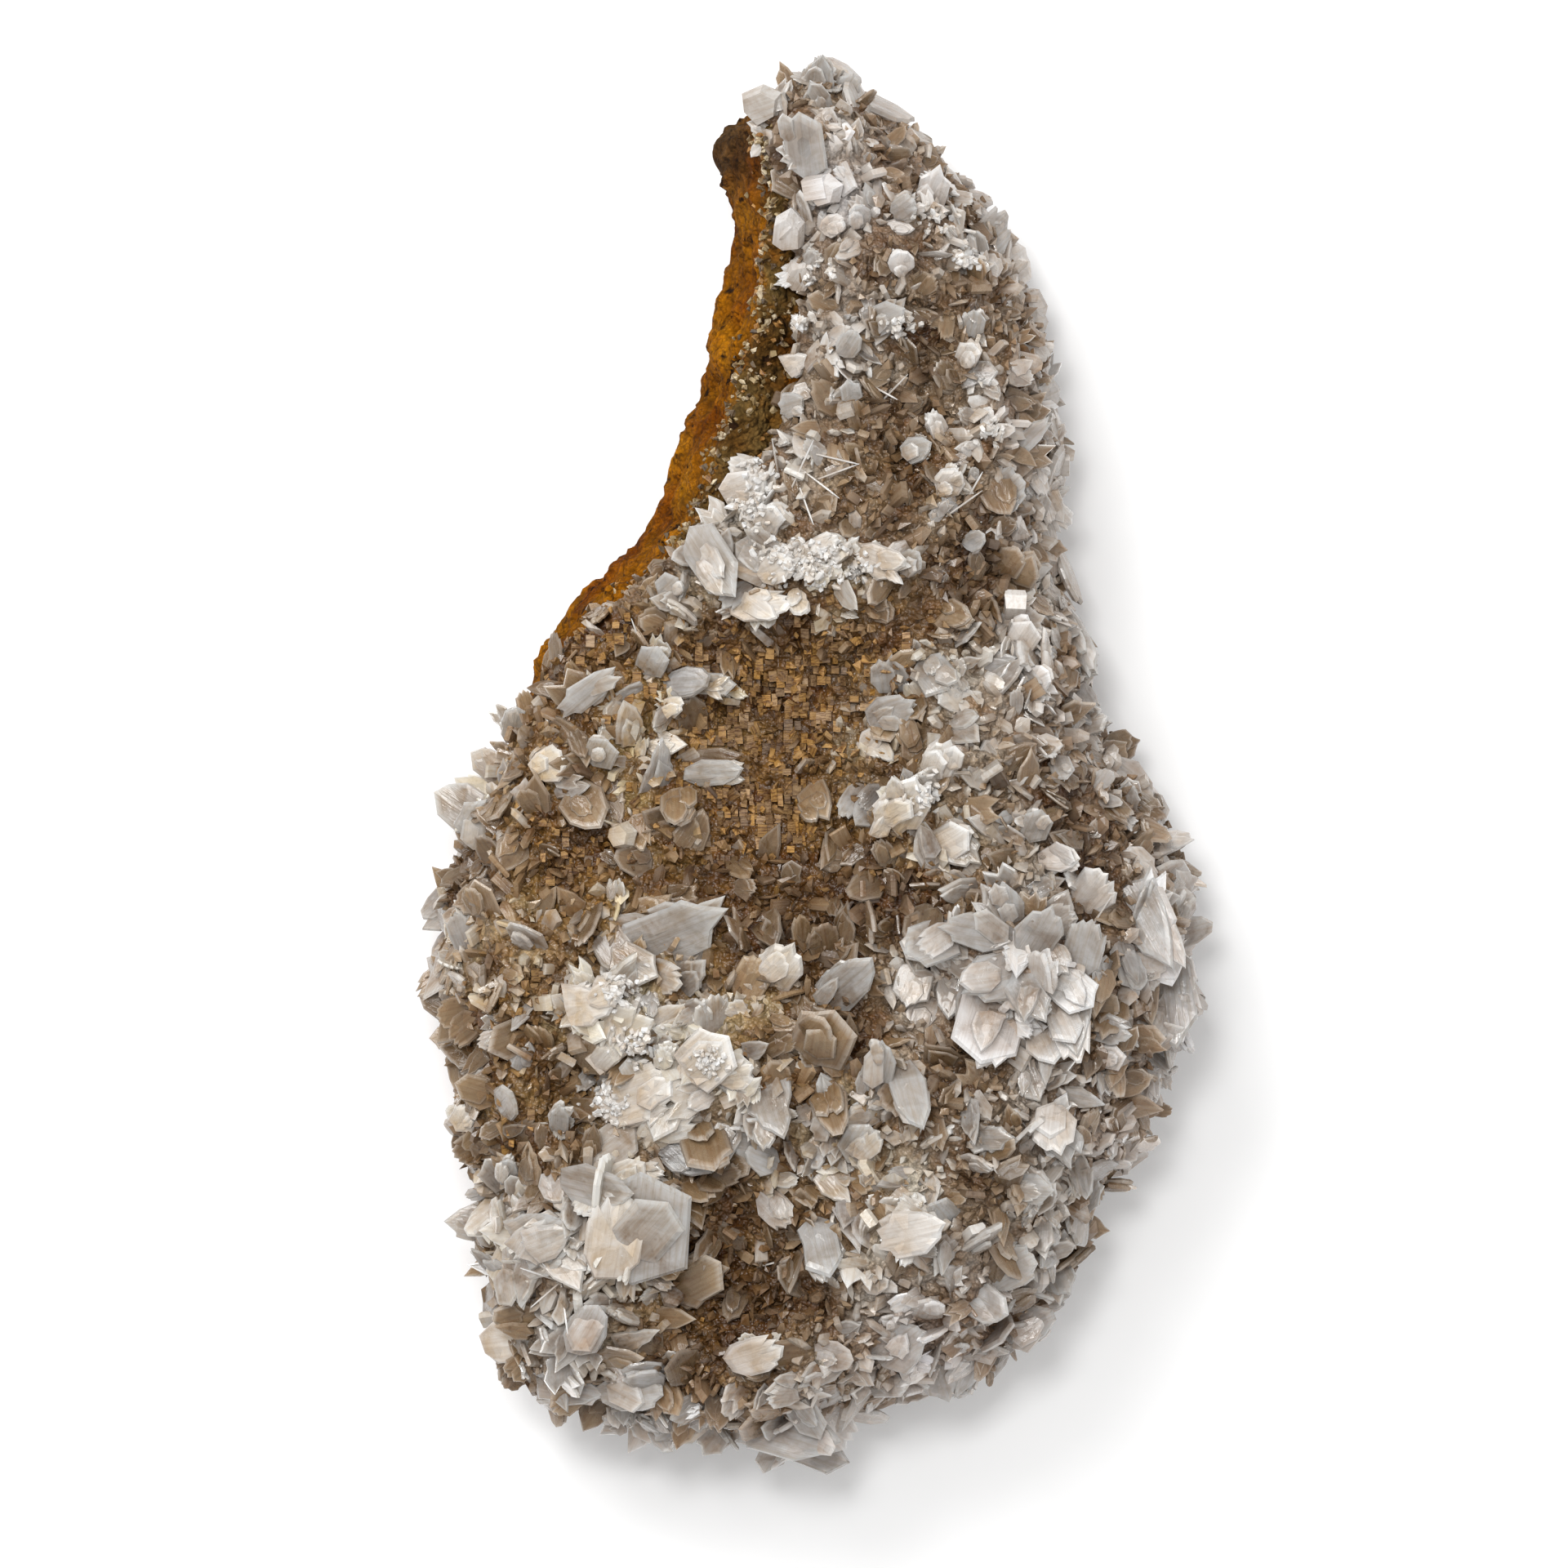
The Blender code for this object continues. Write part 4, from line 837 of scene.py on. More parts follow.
def shardShape(rng):
    # A broken, many-sided piece: the hull of a few points in the box.
    bm = bmesh.new()
    for k in range(9):
        z = 1 - 2 * (k + 0.5) / 9
        turn = k * 2.4 + rng.uniform(-0.5, 0.5)
        flat = math.sqrt(1 - z * z) * rng.uniform(0.75, 1.15)
        bm.verts.new((min(flat * math.cos(turn) * 1.1, 1), flat * math.sin(turn), z * rng.uniform(0.8, 1.1)))
    bmesh.ops.convex_hull(bm, input=bm.verts[:])
    bm.verts.index_update()
    used = [v for v in bm.verts if v.link_faces]
    index = {v: k for k, v in enumerate(used)}
    points = np.array([tuple(v.co) for v in used])
    faces = [tuple(index[v] for v in f.verts) for f in bm.faces]
    bm.free()
    return points, faces


plateKinds = {"lobe": 4, "wedge": 6, "kite": 5, "swallow": 3, "ragged": 6, "blade": 6, "plate": 6}
shapes = {
    "shard": [fixedFaces(shardShape(shapeRandom)) for _ in range(14)],
    "crumb": [fixedFaces(crumbShape(shapeRandom)) for _ in range(12)],
    "lens": [fixedFaces(lensShape(s)) for s in (-0.2, 0, 0.2)],
    "spike": [fixedFaces(spikeShape(s)) for s in (0.35, 0.55, 0.8)],
    "block": [fixedFaces(slabShape(outlineFor("block", shapeRandom), shapeRandom.uniform(0.04, 0.14), shapeRandom.uniform(-0.3, 0.3))) for _ in range(4)],
    "chip": [fixedFaces(slabShape(outlineFor("plate", shapeRandom), shapeRandom.uniform(0.14, 0.3), shapeRandom.uniform(-0.3, 0.3))) for _ in range(8)],
}
for kind, number in plateKinds.items():
    shapes[kind] = [plateShape(kind, shapeRandom, 1 + k % 2) for k in range(number)]


class Heap:
    # Gathers crystals of one finish, then makes them one mesh.
    def __init__(self):
        self.points, self.faces, self.tones, self.grains, self.smooth, self.count = [], [], [], [], [], 0

    def add(self, shape, size, turn, centre, tones, rng, seeThrough=0.3, rimHighlight=0.35, tipAxis=None):
        # tones are those of the root, the tip and what shows through the middle.
        unit, faces, edges, smooth = shape
        local = unit * (np.array(size) / 2)
        self.points.append(local @ np.array(turn).T + np.array(centre))
        along = (unit[:, 2 if tipAxis == "height" else 0] + 1) / 2
        along = (np.clip(along, 0, 1) ** 1.4)[:, None]
        edge = edges[:, None]
        root, tip, under = (np.array(t) for t in tones)
        tone = root * (1 - along) + tip * along
        tone = tone + (under - tone) * seeThrough * (1 - edge) * (1 - 0.5 * along)
        # The rim is lightened towards the rim colour, more towards the tip: a painted highlight along the crystal's
        # edges.
        tone = tone + (np.array(palette["rim"]) - tone) * rimHighlight * np.clip(edge * 2 - 1, 0, 1) * (0.3 + 0.7 * along)
        self.tones.append(tone)
        self.grains.append(local + np.array([rng.uniform(-80, 80) for _ in range(3)]))
        self.faces += [tuple(i + self.count for i in face) for face in faces]
        self.smooth += smooth
        self.count += len(unit)

    def make(self, name, material):
        return putTogether(name, np.vstack(self.points), self.faces, np.vstack(self.tones), np.vstack(self.grains), material,
                           smooth=self.smooth, facetSpread=0.11)


def turnMatrix(direction, face):
    # Columns: length, width and thickness axes.
    d = direction / np.linalg.norm(direction)
    w = np.cross(face, d)
    w /= np.linalg.norm(w)
    return np.column_stack([d, w, np.cross(d, w)])


# ---- where crystals can grow: the ground that the rock doesn't hide
def treeOf(points, faces):
    return BVHTree.FromPolygons([tuple(p) for p in points], faces)


groundTree = treeOf(groundPoints, groundFaces)
rockTree = treeOf(rockPoints, rockFaces)


def insideRock(p, margin=0.0):
    spot, normal, _, far = rockTree.find_nearest(Vector(p))
    return (Vector(p) - spot).dot(normal) < margin


corners = groundPoints[np.array([f[:4] if len(f) > 3 else (*f, f[0]) for f in groundFaces])]
areas = np.linalg.norm(np.cross(corners[:, 2] - corners[:, 0], corners[:, 3] - corners[:, 1]), axis=1) / 2
share = np.cumsum(areas) / areas.sum()


def softNormal(p):
    # The crust's general direction, without the small relief.
    reach, total = 3.0, np.zeros(3)
    for dx, dy in ((1, 0), (0, 1), (-1, 0), (0, -1)):
        hit = groundTree.ray_cast(Vector((p[0] + dx * reach, p[1] + dy * reach, 60)), Vector((0, 0, -1)))[0]
        z = hit.z if hit else p[2] - 5
        total += np.array((dx * (p[2] - z), dy * (p[2] - z), reach))
    return total / np.linalg.norm(total)


def scatterSpots(count, spacing, seed, keep=None):
    rng = random.Random(seed)
    grid, spots, tries = {}, [], 0
    while len(spots) < count and tries < count * 12:
        tries += 1
        k = int(np.searchsorted(share, rng.random()))
        a, b, c, d = corners[min(k, len(corners) - 1)]
        u, v = rng.random(), rng.random()
        p = (a * (1 - u) + b * u) * (1 - v) + (d * (1 - u) + c * u) * v
        if p[2] < 6.5 or (keep and not keep(p, rng)):
            continue
        cell = tuple((p // spacing).astype(int))
        near = [q for i in (-1, 0, 1) for j in (-1, 0, 1) for l in (-1, 0, 1) for q in grid.get((cell[0] + i, cell[1] + j, cell[2] + l), ())]
        if any(np.dot(p - q, p - q) < spacing * spacing for q in near) or insideRock(p, 0.2):
            continue
        grid.setdefault(cell, []).append(p)
        spots.append(p)
    return spots


looksOf = {
    "crumbsStained": "brownGrain", "crumbsCloudy": "greyGrain", "crumbsGolden": "golden",
    "smallClear": "greyGrain", "smallMilky": "paleGrain", "smallStained": "brownGrain", "goldenBlocks": "golden",
    "plateClear": "clear", "plateCloudy": "cloudy", "plateMilky": "milky", "plateWhite": "white", "plateStained": "stained",
    "needles": "milky", "frost": "white", "sandGrains": "golden",
}
heaps = {name: Heap() for name in looksOf}


def sideways(normal, rng):
    side = np.cross(normal, (rng.gauss(0, 1), rng.gauss(0, 1), rng.gauss(0, 1)))
    return side / (np.linalg.norm(side) + 1e-9)


# The second-last value is the strength of the painted highlight on the crystal's rims.
def growAt(heap, p, normal, rng, kind, size, tilt, tones, sink=0.3, seeThrough=0.3, rimHighlight=0.35, flat=0.0):
    direction = normal * math.cos(tilt) + sideways(normal, rng) * math.sin(tilt)
    face = np.cross(direction, (rng.gauss(0, 1), rng.gauss(0, 1), rng.gauss(0, 1)))
    face = face / np.linalg.norm(face) * (1 - flat) + normal * flat
    centre = p + direction * size[0] * (0.5 - sink)
    heaps[heap].add(rng.choice(shapes[kind]), size, turnMatrix(direction, face), centre, tones, rng, seeThrough, rimHighlight)


def classFor(level, rng):
    level += rng.gauss(0, 0.05)
    if level < 0.36:
        return "Stained"
    return "Clear" if level < 0.62 else "Milky"


# The finest grains fill the hollows and the brown ground, the small crystals stand between the plates.
crumbs = {"count": 4200, "spacing": 0.7, "length": (0.6, 1.4)}
small = {"count": 3300, "spacing": 1.0, "length": (1.3, 3.0)}


def growCrumbs():
    rng = random.Random(17)

    def keep(p, rng):
        zone = zoneAt(p[0], p[1])
        return rng.random() < 0.2 + 0.8 * max(zone["brown"], 0.5 * zone["warm"], zone["blocks"]) - 0.3 * zone["pale"]

    for p in scatterSpots(crumbs["count"], crumbs["spacing"], 3, keep):
        zone, normal = zoneAt(p[0], p[1]), softNormal(p)
        side = min(max(1 - normal[2] * 1.6, 0), 1)
        if rng.random() < 0.7 * side:
            continue
        level = 0.14 + 0.7 * paleness(p, zone) + rng.gauss(0, 0.06)
        length = rng.uniform(*crumbs["length"])
        size = (length, length * rng.uniform(0.5, 0.9), length * rng.uniform(0.4, 0.7))
        tone = toneOf(level, zone["warm"], zone["lilac"])
        name = "crumbsStained" if level < 0.42 else "crumbsCloudy"
        if rng.random() < 1.2 * zone["blocks"]:
            name = "crumbsGolden"
            tone = blendTone(tone, blendTone(palette["darkGold"], palette["gold"], rng.random() ** 1.3), 0.85)
        tones = (tuple(c * 0.8 for c in tone), tuple(c * 1.1 for c in tone), tone)
        growAt(name, p, normal, rng, "crumb", size, rng.uniform(0, 1.4), tones, 0.3, 0.0, 0.12)


def growSmall():
    rng = random.Random(11)
    for p in scatterSpots(small["count"], small["spacing"], 5):
        zone, normal = zoneAt(p[0], p[1]), softNormal(p)
        if p[2] > 15 and rng.random() < 0.95 * zone["blocks"]:
            continue
        side = min(max(1 - normal[2] * 1.6, 0), 1)
        if rng.random() < 0.6 * side:
            continue
        level = 0.12 + 0.82 * paleness(p, zone) + 0.1 * side + rng.gauss(0, 0.08)
        length = rng.uniform(*small["length"]) * rng.uniform(0.85, 1.15)
        size = (length, length * rng.uniform(0.4, 0.8), length * rng.uniform(0.12, 0.32))
        tones = (toneOf(level - 0.18, zone["warm"], zone["lilac"]),
                 toneOf(level + 0.1, zone["warm"] * 0.8, zone["lilac"]),
                 toneOf(level - 0.1, zone["warm"], zone["lilac"]))
        kind = rng.choice(("lens", "shard", "shard", "spike", "block", "chip"))
        tilt = rng.uniform(0.3, 1.4) * (1 - side) + rng.uniform(1.0, 1.5) * side
        growAt("small" + classFor(level, rng), p, normal, rng, kind, size, tilt, tones, 0.42)


growCrumbs()
growSmall()
print("small crystals done")

blocks = {"stepX": 0.66, "stepY": 0.86, "size": ((0.5, 0.95), (0.6, 1.3), (1.0, 1.8))}


def growBlocks():
    # Golden blocks that stand side by side in wavy rows, like steps, with dark gaps.
    rng = random.Random(31)
    y = -52.0
    while y < 14:
        x = -27.0
        while x < 16:
            px = x + 0.5 * fractal((x, y, 0), 4.0, 2, 2.0) + rng.uniform(-0.1, 0.1)
            py = y + 0.6 * fractal((x, y, 0), 5.0, 2, 6.0) + rng.uniform(-0.12, 0.12)
            x += blocks["stepX"]
            zone = zoneAt(px, py)
            if rng.random() > zone["blocks"] * 1.25 - 0.25 or fractal((px, py, 5), 1.6, 2, 3.0) > 0.38:
                continue
            hit = groundTree.ray_cast(Vector((px, py, 60)), Vector((0, 0, -1)))[0]
            if hit is None or insideRock(hit, 0.2):
                continue
            size = [rng.uniform(*reach) for reach in blocks["size"]]
            turn = np.array(Euler((rng.gauss(0, 0.09), rng.gauss(0, 0.09), 0.04 + rng.gauss(0, 0.05))).to_matrix())
            patch = 0.42 + 0.6 * fractal((px, py, 3), 3.0, 2, 12.0)
            tone = blendTone(palette["darkGold"], palette["gold"], min(max(patch + rng.uniform(-0.4, 0.4), 0.02), 1.05))
            tone = blendTone(tone, palette["steps"][3], 0.25 * rng.random() ** 3)
            # Each block is painted darker towards its foot, down to 0.45 of its tone: painted shade in the gaps between
            # blocks.
            low = tuple(c * 0.45 for c in tone)
            step = 0.3 * round(2 * fractal((px, py, 8), 2.2, 2, 5.0)) - 0.5 + rng.gauss(0, 0.14)
            step = min(step, size[2] / 2 - 0.15)
            heaps["goldenBlocks"].add(rng.choice(shapes["block"]), size, turn, (px, py, hit.z + step), (low, tone, tone), rng,
                                      0.0, 0.0, "height")
        y += blocks["stepY"]


growBlocks()
print("golden blocks done")

# Crystal plates: those that lie over the crust, and the large flat ones along its steep rim.
plates = {
    "over": {"count": 1100, "spacing": 1.8, "length": (2.4, 5.6)},
    "rim": {"count": 330, "spacing": 2.6, "length": (4.0, 7.5)},
}


def plateTones(level, zone, depth=0.12):
    return (toneOf(level - 0.2, zone["warm"], zone["lilac"]),
            toneOf(level + 0.12, 0.6 * zone["warm"], zone["lilac"]),
            toneOf(level - depth, zone["warm"], zone["lilac"]))


def seeThroughAndRimHighlight(heap, rng):
    # How much darker a plate looks through its middle, and how strong the painted highlight on its rim is.
    if heap in ("plateMilky", "plateWhite"):
        return 0.12, rng.uniform(0.3, 0.6)
    return (0.22, rng.uniform(0.15, 0.5)) if heap == "plateStained" else (0.34, rng.uniform(0.5, 0.95))


def plateHeap(level, rng):
    level += rng.gauss(0, 0.06)
    if level < 0.42:
        return "plateStained"
    if level > 0.97:
        return "plateWhite"
    return rng.choice(("plateClear", "plateCloudy", "plateCloudy", "plateMilky")) if level < 0.66 else "plateMilky"


def growBook(heap, p, direction, face, length, level, zone, rng):
    # A few thin plates one over the other, each set back a little from the one below.
    turn = turnMatrix(direction, face)
    width = length * rng.uniform(0.45, 0.85)
    for k in range(rng.choice((1, 2, 2, 3))):
        scale = 1.0 if k == 0 else rng.uniform(0.5, 0.85)
        local = np.array((length * (0.24 + rng.uniform(-0.2, 0.2) * (k > 0)), rng.uniform(-0.3, 0.3) * width * (k > 0), 0.05 * length * k))
        wobble = np.array(Euler((rng.gauss(0, 0.06), rng.gauss(0, 0.06), rng.gauss(0, 0.25))).to_matrix()) if k else np.eye(3)
        kind = rng.choice(("wedge", "wedge", "kite", "kite", "swallow", "ragged", "blade", "blade", "plate", "lobe"))
        size = (length * scale, width * scale, length * rng.uniform(0.07, 0.14))
        # rim is the strength of the painted highlight on the plate's edge.
        depth, rim = seeThroughAndRimHighlight(heap, rng)
        tones = plateTones(level + rng.gauss(0, 0.06), zone, depth)
        heaps[heap].add(rng.choice(shapes[kind]), size, turn @ wobble, p + turn @ local, tones, rng, rng.uniform(0.5, 0.95), rim)


def growPlates():
    rng = random.Random(23)

    def keepOver(p, rng):
        zone = zoneAt(p[0], p[1])
        return rng.random() < 0.45 + 0.6 * zone["pale"] - 0.6 * zone["blocks"] - 0.3 * zone["brown"]

    for p in scatterSpots(plates["over"]["count"], plates["over"]["spacing"], 9, keepOver):
        zone, normal = zoneAt(p[0], p[1]), softNormal(p)
        if normal[2] < 0.45:
            continue
        level = 0.06 + 0.86 * paleness(p, zone) + rng.gauss(0, 0.08)
        # The crystals of the narrow end are smaller.
        length = rng.uniform(*plates["over"]["length"]) * (0.8 + 0.3 * zone["pale"]) * (1.08 - 0.3 * min(max(p[1] / 20, 0), 1))
        tilt, flat = rng.uniform(0.85, 1.45), rng.uniform(0.5, 0.97)
        direction = normal * math.cos(tilt) + sideways(normal, rng) * math.sin(tilt)
        face = sideways(direction, rng) * (1 - flat) + normal * flat
        growBook(plateHeap(level, rng), p, direction, face, length, level, zone, rng)

    def keepRim(p, rng):
        return p[2] < 17

    for p in scatterSpots(plates["rim"]["count"], plates["rim"]["spacing"], 15, keepRim):
        zone = zoneAt(p[0], p[1])
        spot, normal, _, _ = groundTree.find_nearest(Vector(p))
        normal = softNormal(p) * 0.5 + np.array(normal) * 0.5
        normal /= np.linalg.norm(normal)
        level = 0.4 + 0.3 * paleness(p, zone) + rng.gauss(0, 0.07)
        length = rng.uniform(*plates["rim"]["length"])
        size = (length, length * rng.uniform(0.55, 0.9), length * rng.uniform(0.1, 0.18))
        tones = plateTones(level, {"warm": 0.3 * zone["warm"], "lilac": max(zone["lilac"], 0.5)})
        kind = rng.choice(("lobe", "lobe", "plate", "blade", "wedge", "ragged"))
        growAt(rng.choice(("plateCloudy", "plateCloudy", "plateMilky", "plateClear")), p, normal, rng, kind, size,
               rng.uniform(1.25, 1.55), tones, 0.45, rng.uniform(0.1, 0.4), rng.uniform(0.1, 0.3), 0.95)


growPlates()
print("plates done")

# Groups of plates that spread from one point: x, y, reach, number of plates, level.
rosettes = {
    "blade": (0.55, 1.0),
    "spots": [
        (0.4, 58.1, 4.2, 9, 0.7), (-3.2, 56, 3.2, 7, 0.7), (4.6, 58.8, 3.2, 7, 0.5),
        (8.1, 54.6, 3.5, 8, 0.7), (-3.9, 53.2, 2.8, 6, 0.8), (-0.4, 51.8, 3.5, 6, 0.75),
        (3.9, 52.5, 3.2, 7, 0.6), (10.9, 48.9, 3.2, 8, 0.9), (10.2, 46.1, 2.8, 7, 0.85),
        (15.1, 47.5, 2.8, 7, 0.6), (-1.8, 44.7, 3.2, 8, 0.85), (-0.7, 41.2, 3.2, 8, 0.95),
        (4.6, 46.1, 2.8, 6, 0.75), (7.4, 41.9, 2.8, 7, 0.85), (13.7, 43.3, 2.5, 6, 0.85),
        (-1.8, 33.5, 2.8, 7, 0.9), (1.1, 34.2, 2.5, 6, 0.85), (6, 37, 3.2, 7, 0.75),
        (13.7, 36.3, 2.8, 6, 0.8), (16.5, 32.7, 2.8, 6, 0.65), (10.9, 28.5, 2.8, 6, 0.75),
        (0.4, 30.6, 2.5, 6, 0.8), (-4.9, 24.3, 3.5, 9, 0.9), (-4.2, 21.5, 3.5, 9, 0.95),
        (-2.5, 19.4, 3.2, 8, 0.9), (-8.1, 20.1, 3.2, 8, 0.8), (-8.8, 16.5, 4.2, 7, 0.75),
        (8.8, 26.1, 2.5, 6, 0.7), (11.6, 23.6, 2.8, 7, 0.85), (15.8, 20.1, 3.5, 8, 0.8),
        (18, 17.3, 3.2, 7, 0.85), (-0.7, 16.5, 3.2, 8, 0.97), (2.5, 17.6, 3.2, 8, 0.97),
        (5.6, 16.2, 3.2, 8, 0.95), (-4.6, 13, 3.2, 7, 0.9), (-6.7, 13.4, 2.5, 5, 0.9),
        (17.3, 13, 3.2, 7, 0.85), (18.3, 9.5, 3.2, 8, 0.85), (21.5, 8.8, 3.5, 7, 0.65),
        (-16.5, 15.8, 2.8, 6, 0.7), (-18.7, 5.3, 3.2, 7, 0.85), (-13.7, 8.1, 2.5, 6, 0.85),
        (-8.1, 6, 2.5, 7, 0.9), (-12.3, 4.2, 2.1, 5, 0.95), (-25, 2.5, 2.8, 6, 0.8),
        (-15.1, -0.4, 2.5, 7, 0.85), (-16.5, -6, 2.5, 6, 0.9), (-28.5, -5.6, 3.2, 9, 0.95),
        (7.4, 3.9, 3.2, 7, 0.85), (5.3, 1.1, 2.8, 7, 0.8), (11.6, 6.7, 2.5, 6, 0.8),
        (8.1, -4.2, 3.9, 8, 0.95), (10.2, -8.1, 2.8, 7, 0.8), (13, -6, 2.8, 7, 0.75),
        (18, 4.6, 2.8, 7, 0.75), (18.7, 1.1, 2.8, 7, 0.7), (24.3, -3.2, 2.8, 7, 0.6),
        (26.8, -5.3, 2.5, 6, 0.75), (17.3, -6, 3.2, 6, 0.65), (13.7, -18.7, 4.9, 9, 0.85),
        (16.5, -21.5, 4.9, 8, 0.9), (11.6, -16.5, 3.9, 8, 0.85), (20.1, -14.4, 4.2, 8, 0.85),
        (23.6, -11.6, 3.9, 8, 0.9), (22.9, -19.4, 3.5, 7, 0.8), (28.5, -14.4, 3.9, 7, 0.75),
        (30.6, -19.4, 3.5, 6, 0.7), (20.8, -31.7, 3.2, 5, 0.9), (14.4, -32, 2.8, 6, 0.65),
        (24.3, -26.4, 2.8, 7, 0.65), (27.8, -29.2, 2.8, 7, 0.6), (-18.7, -20.4, 3.9, 10, 0.97),
        (-16.5, -22.9, 3.5, 9, 0.95), (-20.8, -21.5, 3.2, 8, 0.85), (-15.8, -29.2, 4.2, 10, 0.97),
        (-13.7, -27.1, 3.5, 9, 0.97), (-8.8, -25.7, 3.9, 9, 0.95), (-6.3, -27.1, 3.2, 8, 0.9),
        (-3.9, -29.9, 3.5, 7, 0.75), (-0.4, -33.5, 3.2, 7, 0.7), (1.1, -23.6, 3.5, 6, 0.75),
        (6, -29.2, 3.2, 7, 0.65), (2.5, -34.9, 2.8, 7, 0.65), (-30.6, -18, 3.5, 8, 0.75),
        (-31.7, -22.2, 3.2, 8, 0.7), (-26.4, -23.6, 2.8, 7, 0.65), (-29.9, -31.3, 2.8, 6, 0.85),
        (-21.5, -31.3, 2.8, 6, 0.8), (-25, -38.4, 3.5, 8, 0.8), (-26.4, -42.6, 3.5, 8, 0.85),
        (-18, -37, 4.2, 8, 0.85), (-16.5, -41.9, 4.2, 8, 0.9), (-20.8, -40.5, 3.5, 8, 0.8),
        (-27.1, -48.9, 3.5, 8, 0.75), (-25, -51.8, 3.5, 8, 0.8), (-19.4, -49.6, 3.2, 6, 0.75),
        (-12.3, -51.8, 2.8, 6, 0.75), (-4.6, -51.1, 3.2, 6, 0.85), (-20.8, -54.6, 3.9, 8, 0.75),
        (-16.5, -56, 3.5, 8, 0.75), (-9.5, -56, 3.2, 7, 0.6), (-3.2, -57.4, 3.9, 8, 0.8),
        (0.4, -59.5, 3.5, 8, 0.75), (-1.1, -54.6, 3.2, 7, 0.8), (4.6, -53.2, 3.5, 8, 0.75),
        (7.4, -48.9, 3.5, 8, 0.75), (8.1, -40.5, 4.2, 10, 0.97), (6, -39.1, 3.5, 8, 0.85),
        (10.9, -44.7, 3.2, 8, 0.8), (1.8, -44.7, 3.2, 7, 0.75), (11.6, -53.2, 3.5, 7, 0.7),
        (16.5, -44.7, 3.5, 8, 0.75), (19.4, -47.5, 3.2, 7, 0.65), (20.1, -42.6, 3.2, 7, 0.7),
        (18, -37, 3.2, 6, 0.75), (16.5, -50.4, 3.2, 6, 0.75), (23.6, -37, 2.8, 7, 0.6),
        (27.1, -33.5, 2.8, 7, 0.6), (10.2, -36.3, 2.8, 7, 0.7),
    ],
}


def growRosettes():
    rng = random.Random(57)
    for x, y, reach, number, level in rosettes["spots"]:
        hit = groundTree.ray_cast(Vector((x, y, 60)), Vector((0, 0, -1)))[0]
        if hit is None:
            continue
        zone, normal = zoneAt(x, y), softNormal(hit)
        base = np.array(hit) - normal * reach * 0.12
        heading, spread = rng.uniform(0, 6.3), rng.choice((0.5, 0.9, 3.1))
        for k in range(max(3, number // 2 + 1)):
            turn = heading + rng.uniform(-spread, spread)
            lean = rng.uniform(0.8, 1.4)
            side = np.array((math.cos(turn), math.sin(turn), 0))
            side -= normal * side.dot(normal)
            side /= np.linalg.norm(side)
            direction = normal * math.cos(lean) + side * math.sin(lean)
            length = reach * rng.uniform(*rosettes["blade"])
            size = (length, length * rng.uniform(0.45, 0.85), length * rng.uniform(0.08, 0.15))
            own = level - 0.14 + rng.gauss(0, 0.08)
            face = normal + 0.3 * np.array([rng.gauss(0, 1) for _ in range(3)])
            kind = rng.choice(("wedge", "kite", "swallow", "ragged", "ragged", "blade"))
            centre = base + direction * length * 0.42 + np.array((rng.gauss(0, 1), rng.gauss(0, 1), 0)) * reach * 0.14
            heap = plateHeap(own, rng)
            # rim is the strength of the painted highlight on the plate's edge.
            depth, rim = seeThroughAndRimHighlight(heap, rng)
            heaps[heap].add(rng.choice(shapes[kind]), size, turnMatrix(direction, face), centre, plateTones(own, zone, depth), rng,
                            rng.uniform(0.5, 0.95), rim)


growRosettes()
print("rosettes done")

